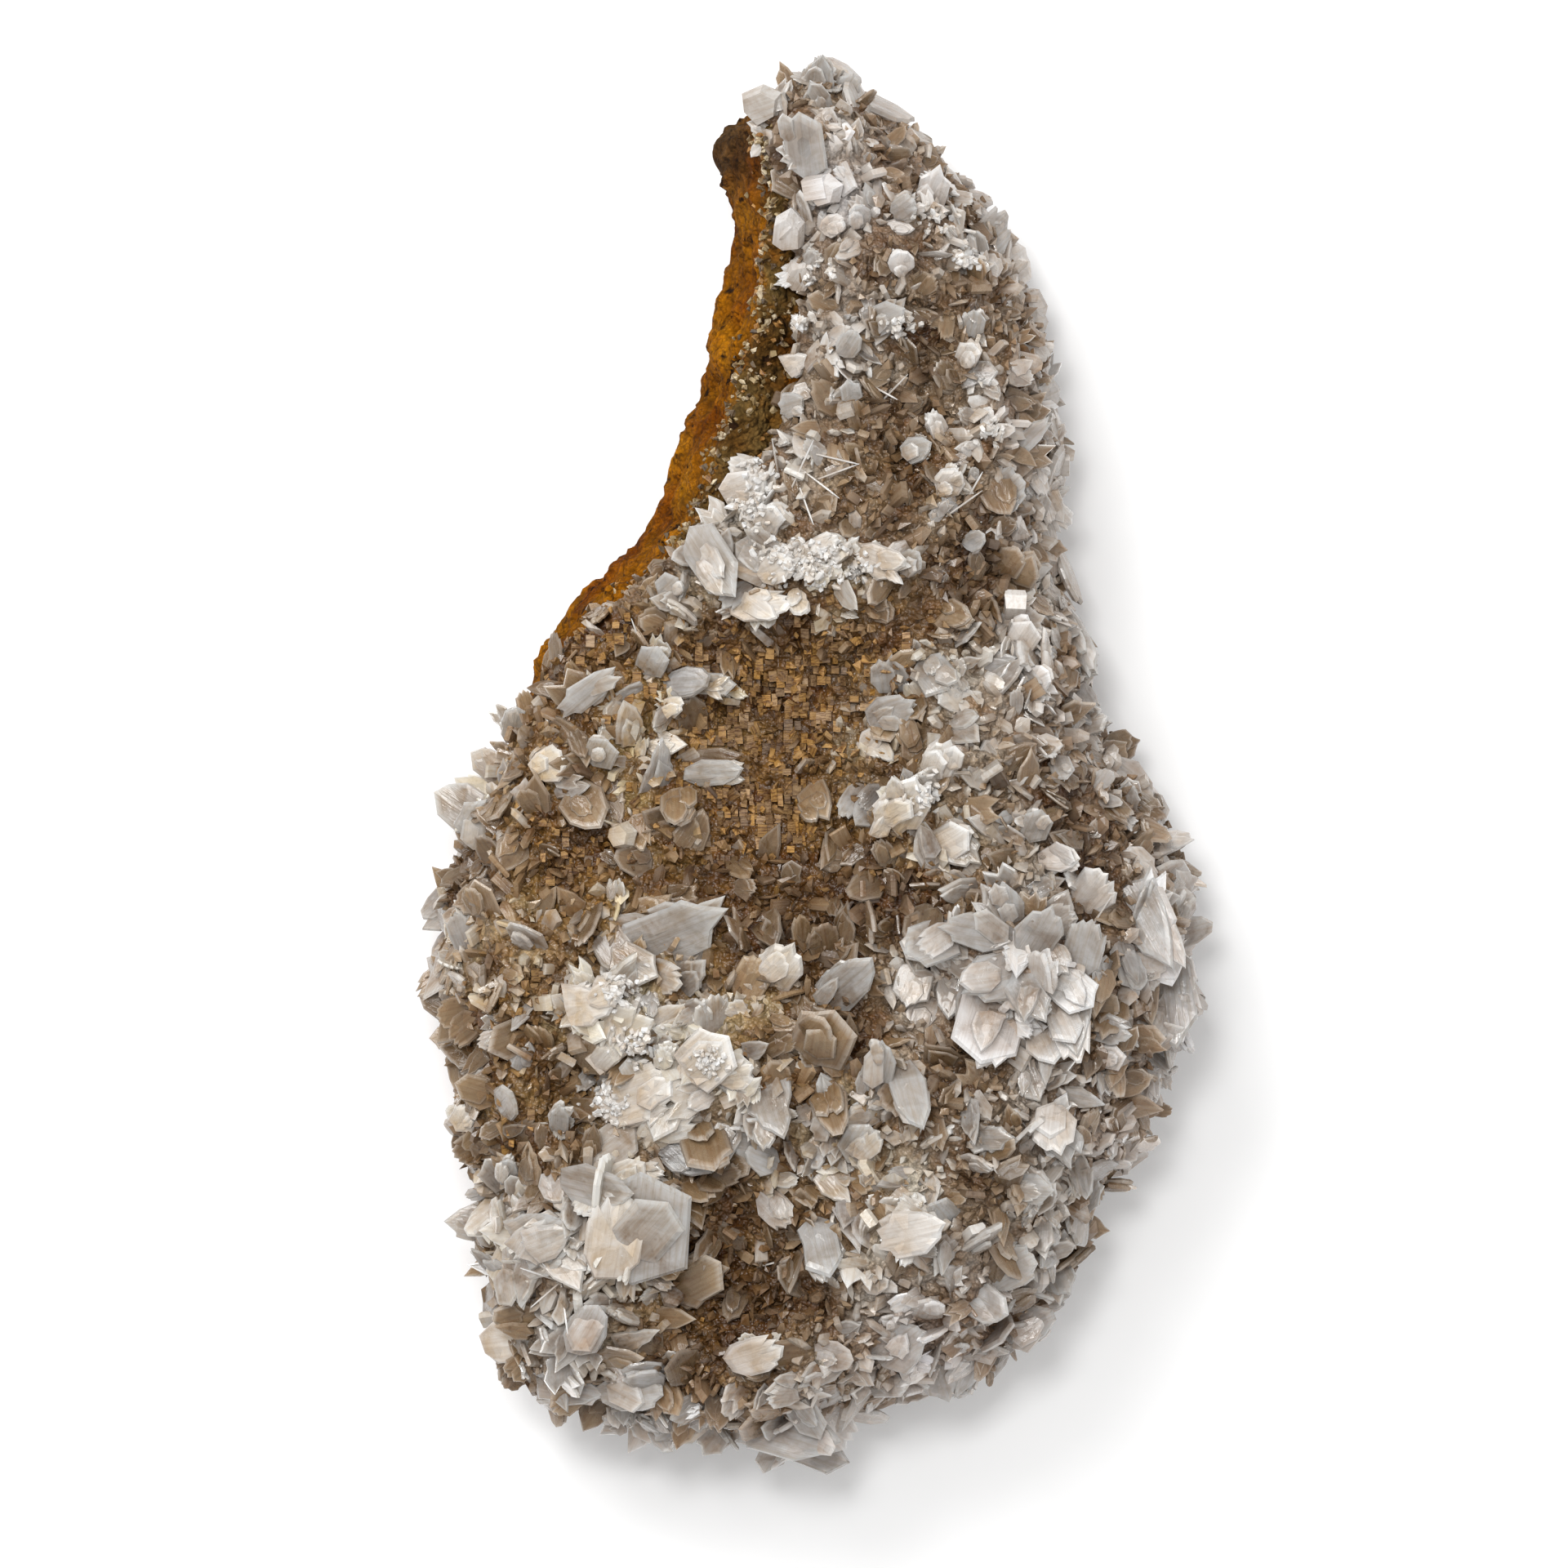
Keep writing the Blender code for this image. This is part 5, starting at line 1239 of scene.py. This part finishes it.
# Crystals that stand out one by one: shape and finish, x, y, length, width, thickness, heading, tip-up, roll
standing = {
    "finish": {"c": "plateCloudy", "g": "plateCloudy", "m": "plateMilky", "w": "plateWhite", "b": "plateStained", "l": "plateMilky"},
    "tone": {"c": (0.26, 0.8, 0.4), "g": (0.3, 0.72, 0.44), "m": (0.34, 0.86, 0.56), "w": (0.42, 0.9, 0.66), "b": (0.08, 0.54, 0.3),
             "l": (0.45, 0.74, 0.58)},
    "through": {"c": 0.7, "g": 0.5, "m": 0.5, "w": 0.4, "b": 0.4, "l": 0.4},
    "crystals": [
        ("Pg", 0.7, 58.5, 5.2, 3.6, 2.2, 82, 40, -20), ("Pm", 2.9, 57.4, 4.4, 2.8, 2, 60, 38, 10),
        ("Pg", 0.4, 56.4, 4, 2.6, 2, 112, 38, 0), ("Bm", -4.4, 55.8, 4.1, 3.5, 2.6, 20, 20, 20),
        ("Pc", -0.7, 51.8, 7.2, 3.8, 2.4, 97, 28, -18), ("Pw", 10.2, 48.2, 5.5, 3.2, 2.8, 70, 30, 15),
        ("Bw", 1.1, 48, 3.2, 3, 2.6, 10, 30, 15), ("Lm", 7.7, 46.5, 3.4, 2.7, 2.4, 30, 40, 10),
        ("Lm", 4, 45.7, 3, 2.3, 2.2, 120, 40, 0), ("Lw", 1.6, 45.1, 3, 2.3, 2.2, 30, 35, 0),
        ("Bw", -2.1, 44.7, 4.4, 3.1, 2.6, 80, 35, -10), ("Lm", 14.1, 43.9, 3.8, 2.3, 2.4, 110, 40, -10),
        ("Lw", 7.4, 41.8, 3.1, 2.7, 2.4, 100, 45, 0), ("Bw", -1.1, 41.1, 3.7, 3, 2.4, 60, 30, 12),
        ("Lg", 6, 37, 4.5, 3, 2.4, 22, 28, 15), ("Lm", 13.7, 36.8, 3.2, 2.5, 2.2, 80, 35, 15),
        ("Lm", 3, 34.9, 3.5, 2.5, 2.4, 55, 38, 0), ("Lw", 13.2, 34.2, 2.8, 2.3, 2.2, 60, 40, 0),
        ("Pw", -1.4, 33.5, 2.8, 2.7, 2.4, 30, 30, 0), ("Lm", 3.2, 30.9, 2.7, 2.1, 2.2, 100, 40, 0),
        ("Lm", -1.8, 29.9, 3, 2.5, 2.2, 20, 30, 0), ("Lw", 10.6, 28.1, 3.5, 2, 2.2, 120, 40, 12),
        ("Lc", 18.4, 27, 6.6, 2, 2, 45, 24, 0), ("Lm", 8.8, 26, 3.4, 2.5, 2.2, 15, 30, 0),
        ("Pw", 11.6, 23.2, 3.1, 3, 2.4, 60, 30, 10), ("Pc", 16.2, 22.7, 5.4, 4.2, 3, 40, 30, 0),
        ("Pw", -5.8, 22.6, 5.1, 3.9, 3, 20, 30, 15), ("Lw", -3.7, 19.9, 3.4, 2.7, 2.4, 60, 40, 0),
        ("Bw", 17.6, 19.4, 3.4, 2.5, 2.4, 95, 40, 0), ("Lm", 13.7, 18.3, 3, 2.1, 2.2, 30, 40, 0),
        ("Pw", 0.7, 17.5, 4.5, 2.7, 2.4, 20, 28, 14), ("Pm", -8.8, 16.5, 8.6, 4.4, 2.6, -58, 28, 18),
        ("Pw", 5.7, 16.4, 5.1, 3.2, 2.6, -22, 26, 16), ("Lm", 8.2, 16.3, 3.1, 2.5, 2.2, 40, 36, 0),
        ("Lw", -3.2, 15.7, 4.1, 3, 2.4, 30, 34, 0), ("Pb", 17.3, 15.7, 5.2, 4.6, 3.2, 70, 30, 0),
        ("Lm", -12.2, 14.3, 3.1, 2.5, 2.2, 40, 38, 0), ("Lw", -1.2, 12.9, 3.4, 2.3, 2.2, -80, 38, 0),
        ("Pw", -4.4, 12.7, 6.5, 3, 2.4, 4, 18, -16), ("Bw", 17.3, 12.7, 2.8, 2, 2.4, 90, 50, 0),
        ("Lb", 12, 12, 3.8, 2.7, 2.4, -20, 30, 0), ("Pw", 18, 10.1, 3.8, 3.1, 2.6, 60, 38, 0),
        ("Pc", 22.7, 9.9, 8.2, 3.4, 3, -68, 22, 10), ("Lm", -13.7, 8, 3.7, 3, 2.4, 60, 38, 0),
        ("Pc", 10.2, 6.8, 4.5, 3.9, 2.8, -50, 34, 0), ("Lw", 19, 6.5, 3.7, 3, 2.4, 30, 40, 0),
        ("Lm", -8.9, 6.1, 5.9, 2, 2, -4, 20, 0), ("Lc", -19.2, 5.3, 7.6, 2.7, 2.2, 38, 24, 16),
        ("Lw", -12, 4.2, 3, 2, 2, 10, 34, 0), ("Pc", 6.7, 3.7, 5.2, 3.4, 2.6, 20, 30, 14),
        ("Pg", 23.9, 2.7, 4.8, 3.4, 3.4, 2, 14, 0), ("Lm", -25.7, 2.5, 5.1, 3, 2.6, 80, 36, 0),
        ("Lm", -18, 0.2, 3.7, 3, 2.4, 60, 40, 0), ("Lw", 10.9, -0.4, 4.6, 3.4, 2.8, 60, 38, 0),
        ("Pw", -22.5, -0.8, 3.8, 3.4, 2.8, 20, 26, 0), ("Lg", 21.2, -1.1, 3.4, 2.1, 2.2, -70, 44, 0),
        ("Lm", -8.5, -1.5, 6.1, 2.7, 2.4, 4, 22, 18), ("Pg", 27.1, -3.5, 3.1, 3, 2.6, 80, 24, 0),
        ("Pb", 0.4, -4, 4.4, 3.5, 2.6, -60, 34, 0), ("Lb", -11.5, -4.3, 4.6, 3.4, 2.4, -88, 36, 0),
        ("Pb", -19.4, -4.4, 5.4, 4.4, 3, -60, 28, 0), ("Pw", 7.7, -4.4, 7, 4.9, 3.2, 62, 34, 14),
        ("Pm", -28.8, -5.7, 5.1, 4.1, 3, 60, 34, 0), ("Lm", 19, -6, 3.7, 2.8, 2.4, 70, 36, 0),
        ("Bw", -16.2, -6.8, 3, 2.4, 2.2, 10, 30, 0), ("Pw", 11.8, -7.4, 4.1, 3.5, 2.6, 30, 36, 0),
        ("Lw", 20.8, -8.8, 4.4, 2.7, 2.2, 0, 30, 0), ("Pw", 23.8, -11.6, 5.2, 4.2, 2.8, 50, 32, 0),
        ("Pm", 16.4, -12.6, 4.8, 3.4, 2.4, 100, 34, 0), ("Pm", 28.6, -14.6, 9.6, 5.6, 3, -62, 14, 10),
        ("Pg", 13.9, -14.9, 7.4, 3.6, 2.6, 170, 22, -8), ("Pc", 19.2, -15, 5.6, 4.4, 2.6, 60, 26, 10),
        ("Pc", -12.2, -15.3, 11.7, 5.9, 3, 22, 18, 20), ("Pm", 10.2, -15.8, 6.4, 4.2, 2.8, -165, 24, 12),
        ("Pg", 22.9, -16.4, 6.6, 4, 2.6, 75, 26, -10), ("Lw", -2.8, -18.1, 6.6, 4.4, 3.2, 55, 40, 0),
        ("Pm", 15.6, -18.7, 7.2, 5.2, 3, -160, 20, 8), ("Pg", 2.9, -19.4, 7.5, 4.1, 2.6, 42, 28, 12),
        ("Pg", 18.2, -20.4, 6, 3.6, 2.6, -60, 30, 0), ("Pm", 30.6, -21, 9, 5.4, 3, -84, 12, 12),
        ("Pw", -18.7, -21.1, 6.1, 4.5, 3, 10, 28, 0), ("Pm", 21.8, -22.6, 7.4, 4.8, 2.8, -82, 24, 10),
        ("Pw", 14.9, -22.9, 8.2, 6.2, 3.2, -108, 22, -6), ("Pb", 0.8, -24, 7, 5.8, 3.6, 62, 34, 0),
        ("Bw", -17.5, -25.3, 3.7, 3, 2.4, 50, 40, 0), ("Pw", -9.1, -25.7, 6.8, 5.1, 3, 40, 26, 0),
        ("Lw", 25.4, -25.7, 2.8, 2.5, 2.4, 60, 30, 0), ("Pc", 19.8, -26, 5, 1.8, 1.8, -95, 30, 0),
        ("Lm", 5.6, -26.5, 6.5, 3.1, 2.6, 80, 36, 0), ("Pw", -6.5, -27, 3.7, 3.1, 2.6, 10, 20, 20),
        ("Pm", 28.5, -28.5, 5.1, 3.4, 2.6, -80, 24, 0), ("Pm", 8.2, -28.7, 7.7, 3.4, 2.6, -74, 34, 0),
        ("Pw", -15, -28.9, 8.3, 5.4, 3.2, 20, 26, 0), ("Pg", -3.5, -29.9, 6.5, 5.2, 3, -70, 30, 0),
        ("Lb", 1.5, -29.9, 6.5, 3.4, 2.6, -70, 36, 0), ("Pw", -29.9, -31.1, 3.4, 2.8, 2.4, 60, 34, 0),
        ("Pm", -21.5, -31.1, 4.6, 2, 2.2, 86, 42, 0), ("Pw", 20.4, -31.8, 5.4, 4.4, 3.4, -82, 38, 0),
        ("Lg", 15.1, -32.5, 4.5, 2.4, 2.2, 0, 26, 0), ("Pm", 4, -32.9, 5.1, 3.5, 2.6, 60, 34, 0),
        ("Lb", -9.1, -33, 6.6, 4.6, 3.2, -76, 42, 0), ("Lm", -26.1, -35.6, 4.1, 2.3, 2.4, 80, 44, 0),
        ("Pg", -18.4, -36.6, 7.6, 4, 2.8, -12, 22, 16), ("Pc", 18, -36.8, 5.6, 3.1, 2.6, -6, 24, 14),
        ("Pg", 23.6, -38, 5.9, 3.9, 2.8, 60, 26, 0), ("Pc", -14.6, -39.9, 11.2, 9, 3.4, 84, 16, 0),
        ("Pw", 8.2, -40.5, 7.5, 4.4, 3.2, 14, 28, 0), ("Pw", -16.8, -40.6, 9.2, 5.6, 3.2, 80, 18, 0),
        ("Pm", -23, -40.8, 7, 5.9, 3.2, 30, 28, 0), ("Pc", 0.6, -41.6, 6.5, 3.8, 3, -76, 32, 0),
        ("Pg", 16.7, -43.7, 6.5, 4.4, 3, 30, 28, 0), ("Pb", -10.1, -44.7, 7.2, 4.4, 2.8, 30, 28, 0),
        ("Pg", 20.9, -44.7, 5.8, 3.9, 2.8, -60, 24, 0), ("Lg", 14.7, -46.8, 5.1, 3.7, 2.6, -30, 28, 0),
        ("Ll", -19.4, -48.9, 6.9, 4.1, 3, 62, 34, 0), ("Pl", 18.8, -49.3, 5.9, 3.7, 2.8, 30, 22, 0),
        ("Pw", -26.3, -50.4, 5.1, 4.4, 2.8, 10, 26, 0), ("Pm", 7.4, -50.4, 5.9, 5.1, 3, 40, 26, 0),
        ("Pw", -4.9, -51.1, 6.3, 3.8, 2.6, 20, 24, 16), ("Pl", 12.3, -53.7, 5.5, 4.2, 3, -60, 28, 0),
        ("Pl", -20.8, -54.4, 7.6, 4.1, 3.2, -10, 22, 0), ("Pm", -15.4, -54.4, 6.8, 4.1, 3, 10, 24, 0),
        ("Pl", -2.6, -58.2, 11.5, 5.5, 3.4, -14, 18, 0), ("Lm", -12.9, -58.9, 3.8, 2.7, 2.4, -60, 20, 0),
        ("Pl", 0.4, -60.6, 6.3, 3.5, 2.8, -20, 12, 0),
    ],
}


def growStanding():
    rng = random.Random(41)
    for kind, x, y, length, width, thick, heading, tipUp, roll in standing["crystals"]:
        heap = standing["finish"][kind[1]]
        zone = zoneAt(x, y)
        rootLevel, tipLevel, underLevel = standing["tone"][kind[1]]
        lilac = 1.0 if kind[1] == "l" else zone["lilac"]
        root = toneOf(rootLevel - 0.25 * zone["brown"], zone["warm"], lilac)
        under = toneOf(underLevel - 0.15 * zone["brown"], zone["warm"], lilac)
        turn = np.array(Euler((math.radians(roll), -math.radians(tipUp), math.radians(heading)), "XYZ").to_matrix())
        hit = groundTree.ray_cast(Vector((x, y, 60)), Vector((0, 0, -1)))[0]
        z = heightAt(x, y) - 0.5
        if hit:
            z = min(max(hit.z, z), hit.z + 0.4)
        centre = np.array((x, y, z + 0.22 * thick + 0.26 * length * math.sin(math.radians(tipUp))))
        form = {"P": ("ragged", "blade", "wedge", "plate"), "L": ("lobe", "blade", "plate"), "B": ("block", "shard", "chip")}[kind[0]]
        for layer in range(2 if kind[0] == "B" else rng.choice((3, 4, 4, 5))):
            # The first plate has the whole outline. The others are smaller and stepped, which makes the edge jagged.
            scale = 1.0 if layer == 0 else rng.uniform(0.4, 0.75)
            free = 1 - scale
            local = np.array((rng.uniform(-0.5, 0.6) * length * free, rng.uniform(-0.6, 0.6) * width * free,
                              0 if layer == 0 else rng.choice((-1, -1, 0.8)) * rng.uniform(0.1, 0.24) * thick))
            wobble = np.array(Euler((rng.gauss(0, 0.13), rng.gauss(0, 0.13), rng.gauss(0, 0.3))).to_matrix() if layer else np.eye(3))
            tip = toneOf(tipLevel + rng.uniform(-0.15, 0.03), 0.3 * zone["warm"], lilac)
            depth = thick * (rng.uniform(0.16, 0.28) if kind[0] != "B" else 0.8)
            # The whole outline is clear, and the milky plates show through it.
            into = "plateClear" if layer == 0 and kind[1] in "cgml" and kind[0] != "B" else heap
            # The last value is the strength of the painted highlight on the plate's rim.
            heaps[into].add(rng.choice(shapes[rng.choice(form)]), (length * scale, width * scale, depth), turn @ wobble,
                            centre + turn @ local, (root, tip, under), rng, standing["through"][kind[1]],
                            0.9 if into in ("plateClear", "plateCloudy") else 0.5)


growStanding()

# Hair-thin crystals: x, y, length, heading, tip-up
needles = {
    "width": 0.17,
    "rows": [
        (-2.2, 25.0, 5.2, 12, 14), (-0.6, 24.0, 4.2, -38, 18), (-1.6, 23.2, 4.6, 65, 20), (0.8, 23.6, 3.8, 20, 12),
        (-3.0, 24.2, 3.4, 100, 24), (0.2, 25.6, 4.4, -14, 16), (-1.0, 22.4, 3.6, -70, 20),
        (-21.5, -44.7, 3.6, 20, 26), (-21.5, -44.7, 3.4, 95, 22), (-21.5, -44.7, 4.2, 160, 20), (-21.4, -44.8, 5.0, -82, 18),
        (-21.6, -44.6, 3.0, -20, 30), (-21.5, -44.6, 3.2, 62, 28), (-21.5, -44.8, 3.8, -140, 22), (-21.6, -44.7, 2.8, 130, 34),
        (11.6, 20.5, 4.0, 35, 20), (13.0, 21.6, 3.4, 60, 20), (6.2, 30.5, 3.2, 45, 22), (5.0, 31.5, 3.0, -30, 20),
        (23.8, -14.5, 3.6, 58, 26), (-4.0, -43.5, 3.0, 15, 24), (-14.5, 9.0, 3.4, 110, 24),
    ],
}


def growNeedles():
    rng = random.Random(83)
    for x, y, length, heading, tipUp in needles["rows"]:
        turn = np.array(Euler((0, -math.radians(tipUp), math.radians(heading))).to_matrix())
        hit = groundTree.ray_cast(Vector((x, y, 60)), Vector((0, 0, -1)))[0]
        centre = np.array((x, y, hit.z + 0.45)) + turn[:, 0] * length * 0.4
        pale = toneOf(0.95)
        heaps["needles"].add(rng.choice(shapes["spike"]), (length, needles["width"], needles["width"]), turn, centre,
                             (toneOf(0.6), pale, pale), rng, 0.0, 0.3)


growNeedles()

# Sugary white lumps: x, y, reach
frost = {
    "grains": 70,
    "length": (0.5, 1.2),
    "spots": [
        (-3.0, 17.2, 1.5), (-0.8, 15.4, 1.6), (1.4, 16.6, 1.6), (3.6, 15.6, 1.5), (-5.2, 21.0, 1.6), (-4.2, 24.4, 1.3),
        (-16.0, -19.8, 1.6), (-15.0, -24.6, 1.7), (-17.2, -29.6, 1.7), (-8.8, -25.6, 1.3), (-1.4, 37.2, 1.1),
        (0.6, 41.2, 1.0), (10.6, 45.4, 1.3), (13.4, 42.6, 1.1), (7.6, 36.2, 0.9), (9.8, -3.6, 1.3), (15.2, 27.4, 1.1),
    ],
}


def growFrost():
    rng = random.Random(29)
    under = [heap for name, heap in heaps.items() if name.startswith(("plate", "small"))]
    starts = np.cumsum([0] + [heap.count for heap in under])
    faces = [tuple(i + start for i in face) for heap, start in zip(under, starts) for face in heap.faces]
    tree = treeOf(np.vstack([points for heap in under for points in heap.points]), faces)
    for cx, cy, reach in frost["spots"]:
        for _ in range(frost["grains"]):
            x, y = cx + rng.gauss(0, 0.6) * reach, cy + rng.gauss(0, 0.5) * reach
            spot, normal = tree.ray_cast(Vector((x, y, 60)), Vector((0, 0, -1)))[:2]
            if spot is None or spot.z < 8:
                continue
            length = rng.uniform(*frost["length"])
            size = (length, length * rng.uniform(0.5, 0.9), length * rng.uniform(0.4, 0.7))
            level = rng.uniform(0.72, 1.0)
            tones = (toneOf(level - 0.2), toneOf(level), toneOf(level))
            growAt("frost", np.array(spot), np.array(normal), rng, "shard", size, rng.uniform(0, 1.4), tones, 0.45, 0.0, 0.3)


growFrost()

# The sandy strip between the wall and the crust, and the knob: how many grains, their length and their tones
sand = {
    "count": 2400,
    "length": (0.35, 0.95),
    "tones": [rgb(58, 42, 24), rgb(104, 80, 44), rgb(136, 116, 76), rgb(172, 152, 112), rgb(206, 192, 162), rgb(160, 110, 40)],
}


def growSand():
    rng = random.Random(61)
    spots = np.flatnonzero((rockSkin[:, 2] > 18.6) & (rockSkin[:, 0] < 0) & (rockSkinNormals[:, 2] > 0.1))
    for _ in range(sand["count"]):
        k = int(spots[rng.randrange(len(spots))])
        p, normal = rockSkin[k], rockSkinNormals[k]
        knob = math.exp(-(((p[0] + 8.6) / 4.4) ** 2 + ((p[1] - 53.0) / 4.6) ** 2))
        if rng.random() > max((p[2] - 18.4) / 2.4, knob):
            continue
        length = rng.uniform(*sand["length"])
        size = (length, length * rng.uniform(0.5, 0.9), length * rng.uniform(0.4, 0.8))
        tone = rng.choice(sand["tones"])
        growAt("sandGrains", np.array(p), np.array(normal), rng, "crumb", size, rng.uniform(0, 1.4), (tone, tone, tone), 0.35, 0.0, 0.1)


growSand()
for name, heap in heaps.items():
    heap.make(name, gypsumMaterials[looksOf[name]])
print("standing crystals done")

# ---- camera, floor and light
studio = {
    "cameraHeight": 650.0,
    "sharpHeight": 18.0,
    "frameWidth": 135.2,
    "centre": (-2.46, -2.46),
    "floor": rgb(250, 250, 250),
}


def makeStudio():
    scene = bpy.context.scene
    x, y = (studio["centre"][0] + shift[0]) * mm, (studio["centre"][1] + shift[1]) * mm
    lens = bpy.data.cameras.new("camera")
    lens.sensor_width = 36
    lens.lens = 36 * (studio["cameraHeight"] - studio["sharpHeight"]) / studio["frameWidth"]
    camera = bpy.data.objects.new("camera", lens)
    camera.location = (x, y, studio["cameraHeight"] * mm)
    scene.collection.objects.link(camera)
    scene.camera = camera
    plane = bpy.data.meshes.new("floor")
    plane.from_pydata([(-2, -2, 0), (2, -2, 0), (2, 2, 0), (-2, 2, 0)], [], [(0, 1, 2, 3)])
    floor = bpy.data.objects.new("floor", plane)
    scene.collection.objects.link(floor)
    made, tree, shader, _ = newMaterial("pale floor")
    shader.inputs["Base Color"].default_value = (*studio["floor"], 1)
    shader.inputs["Roughness"].default_value = 0.9
    plane.materials.append(made)
    world = bpy.data.worlds.new("studio")
    scene.world = world
    world.use_nodes = True
    world.node_tree.nodes["Background"].inputs[0].default_value = (1, 1, 1, 1)
    world.node_tree.nodes["Background"].inputs[1].default_value = 0.7
    for name, place, size, power in (
        ("key", (-0.25, 0.35, 0.55), 0.25, 2.3),
        ("fill", (0.45, 0.1, 0.4), 0.4, 0.3),
        ("sheen", (-0.06, 0.11, 0.6), 0.11, 1.2),
    ):
        light = bpy.data.lights.new(name, "AREA")
        light.shape, light.size, light.energy = "SQUARE", size, power
        lamp = bpy.data.objects.new(name, light)
        lamp.location = place
        lamp.rotation_euler = (-Vector(place)).to_track_quat("-Z", "Y").to_euler()
        scene.collection.objects.link(lamp)
    scene.view_settings.view_transform = "Standard"


makeStudio()
print("studio done")
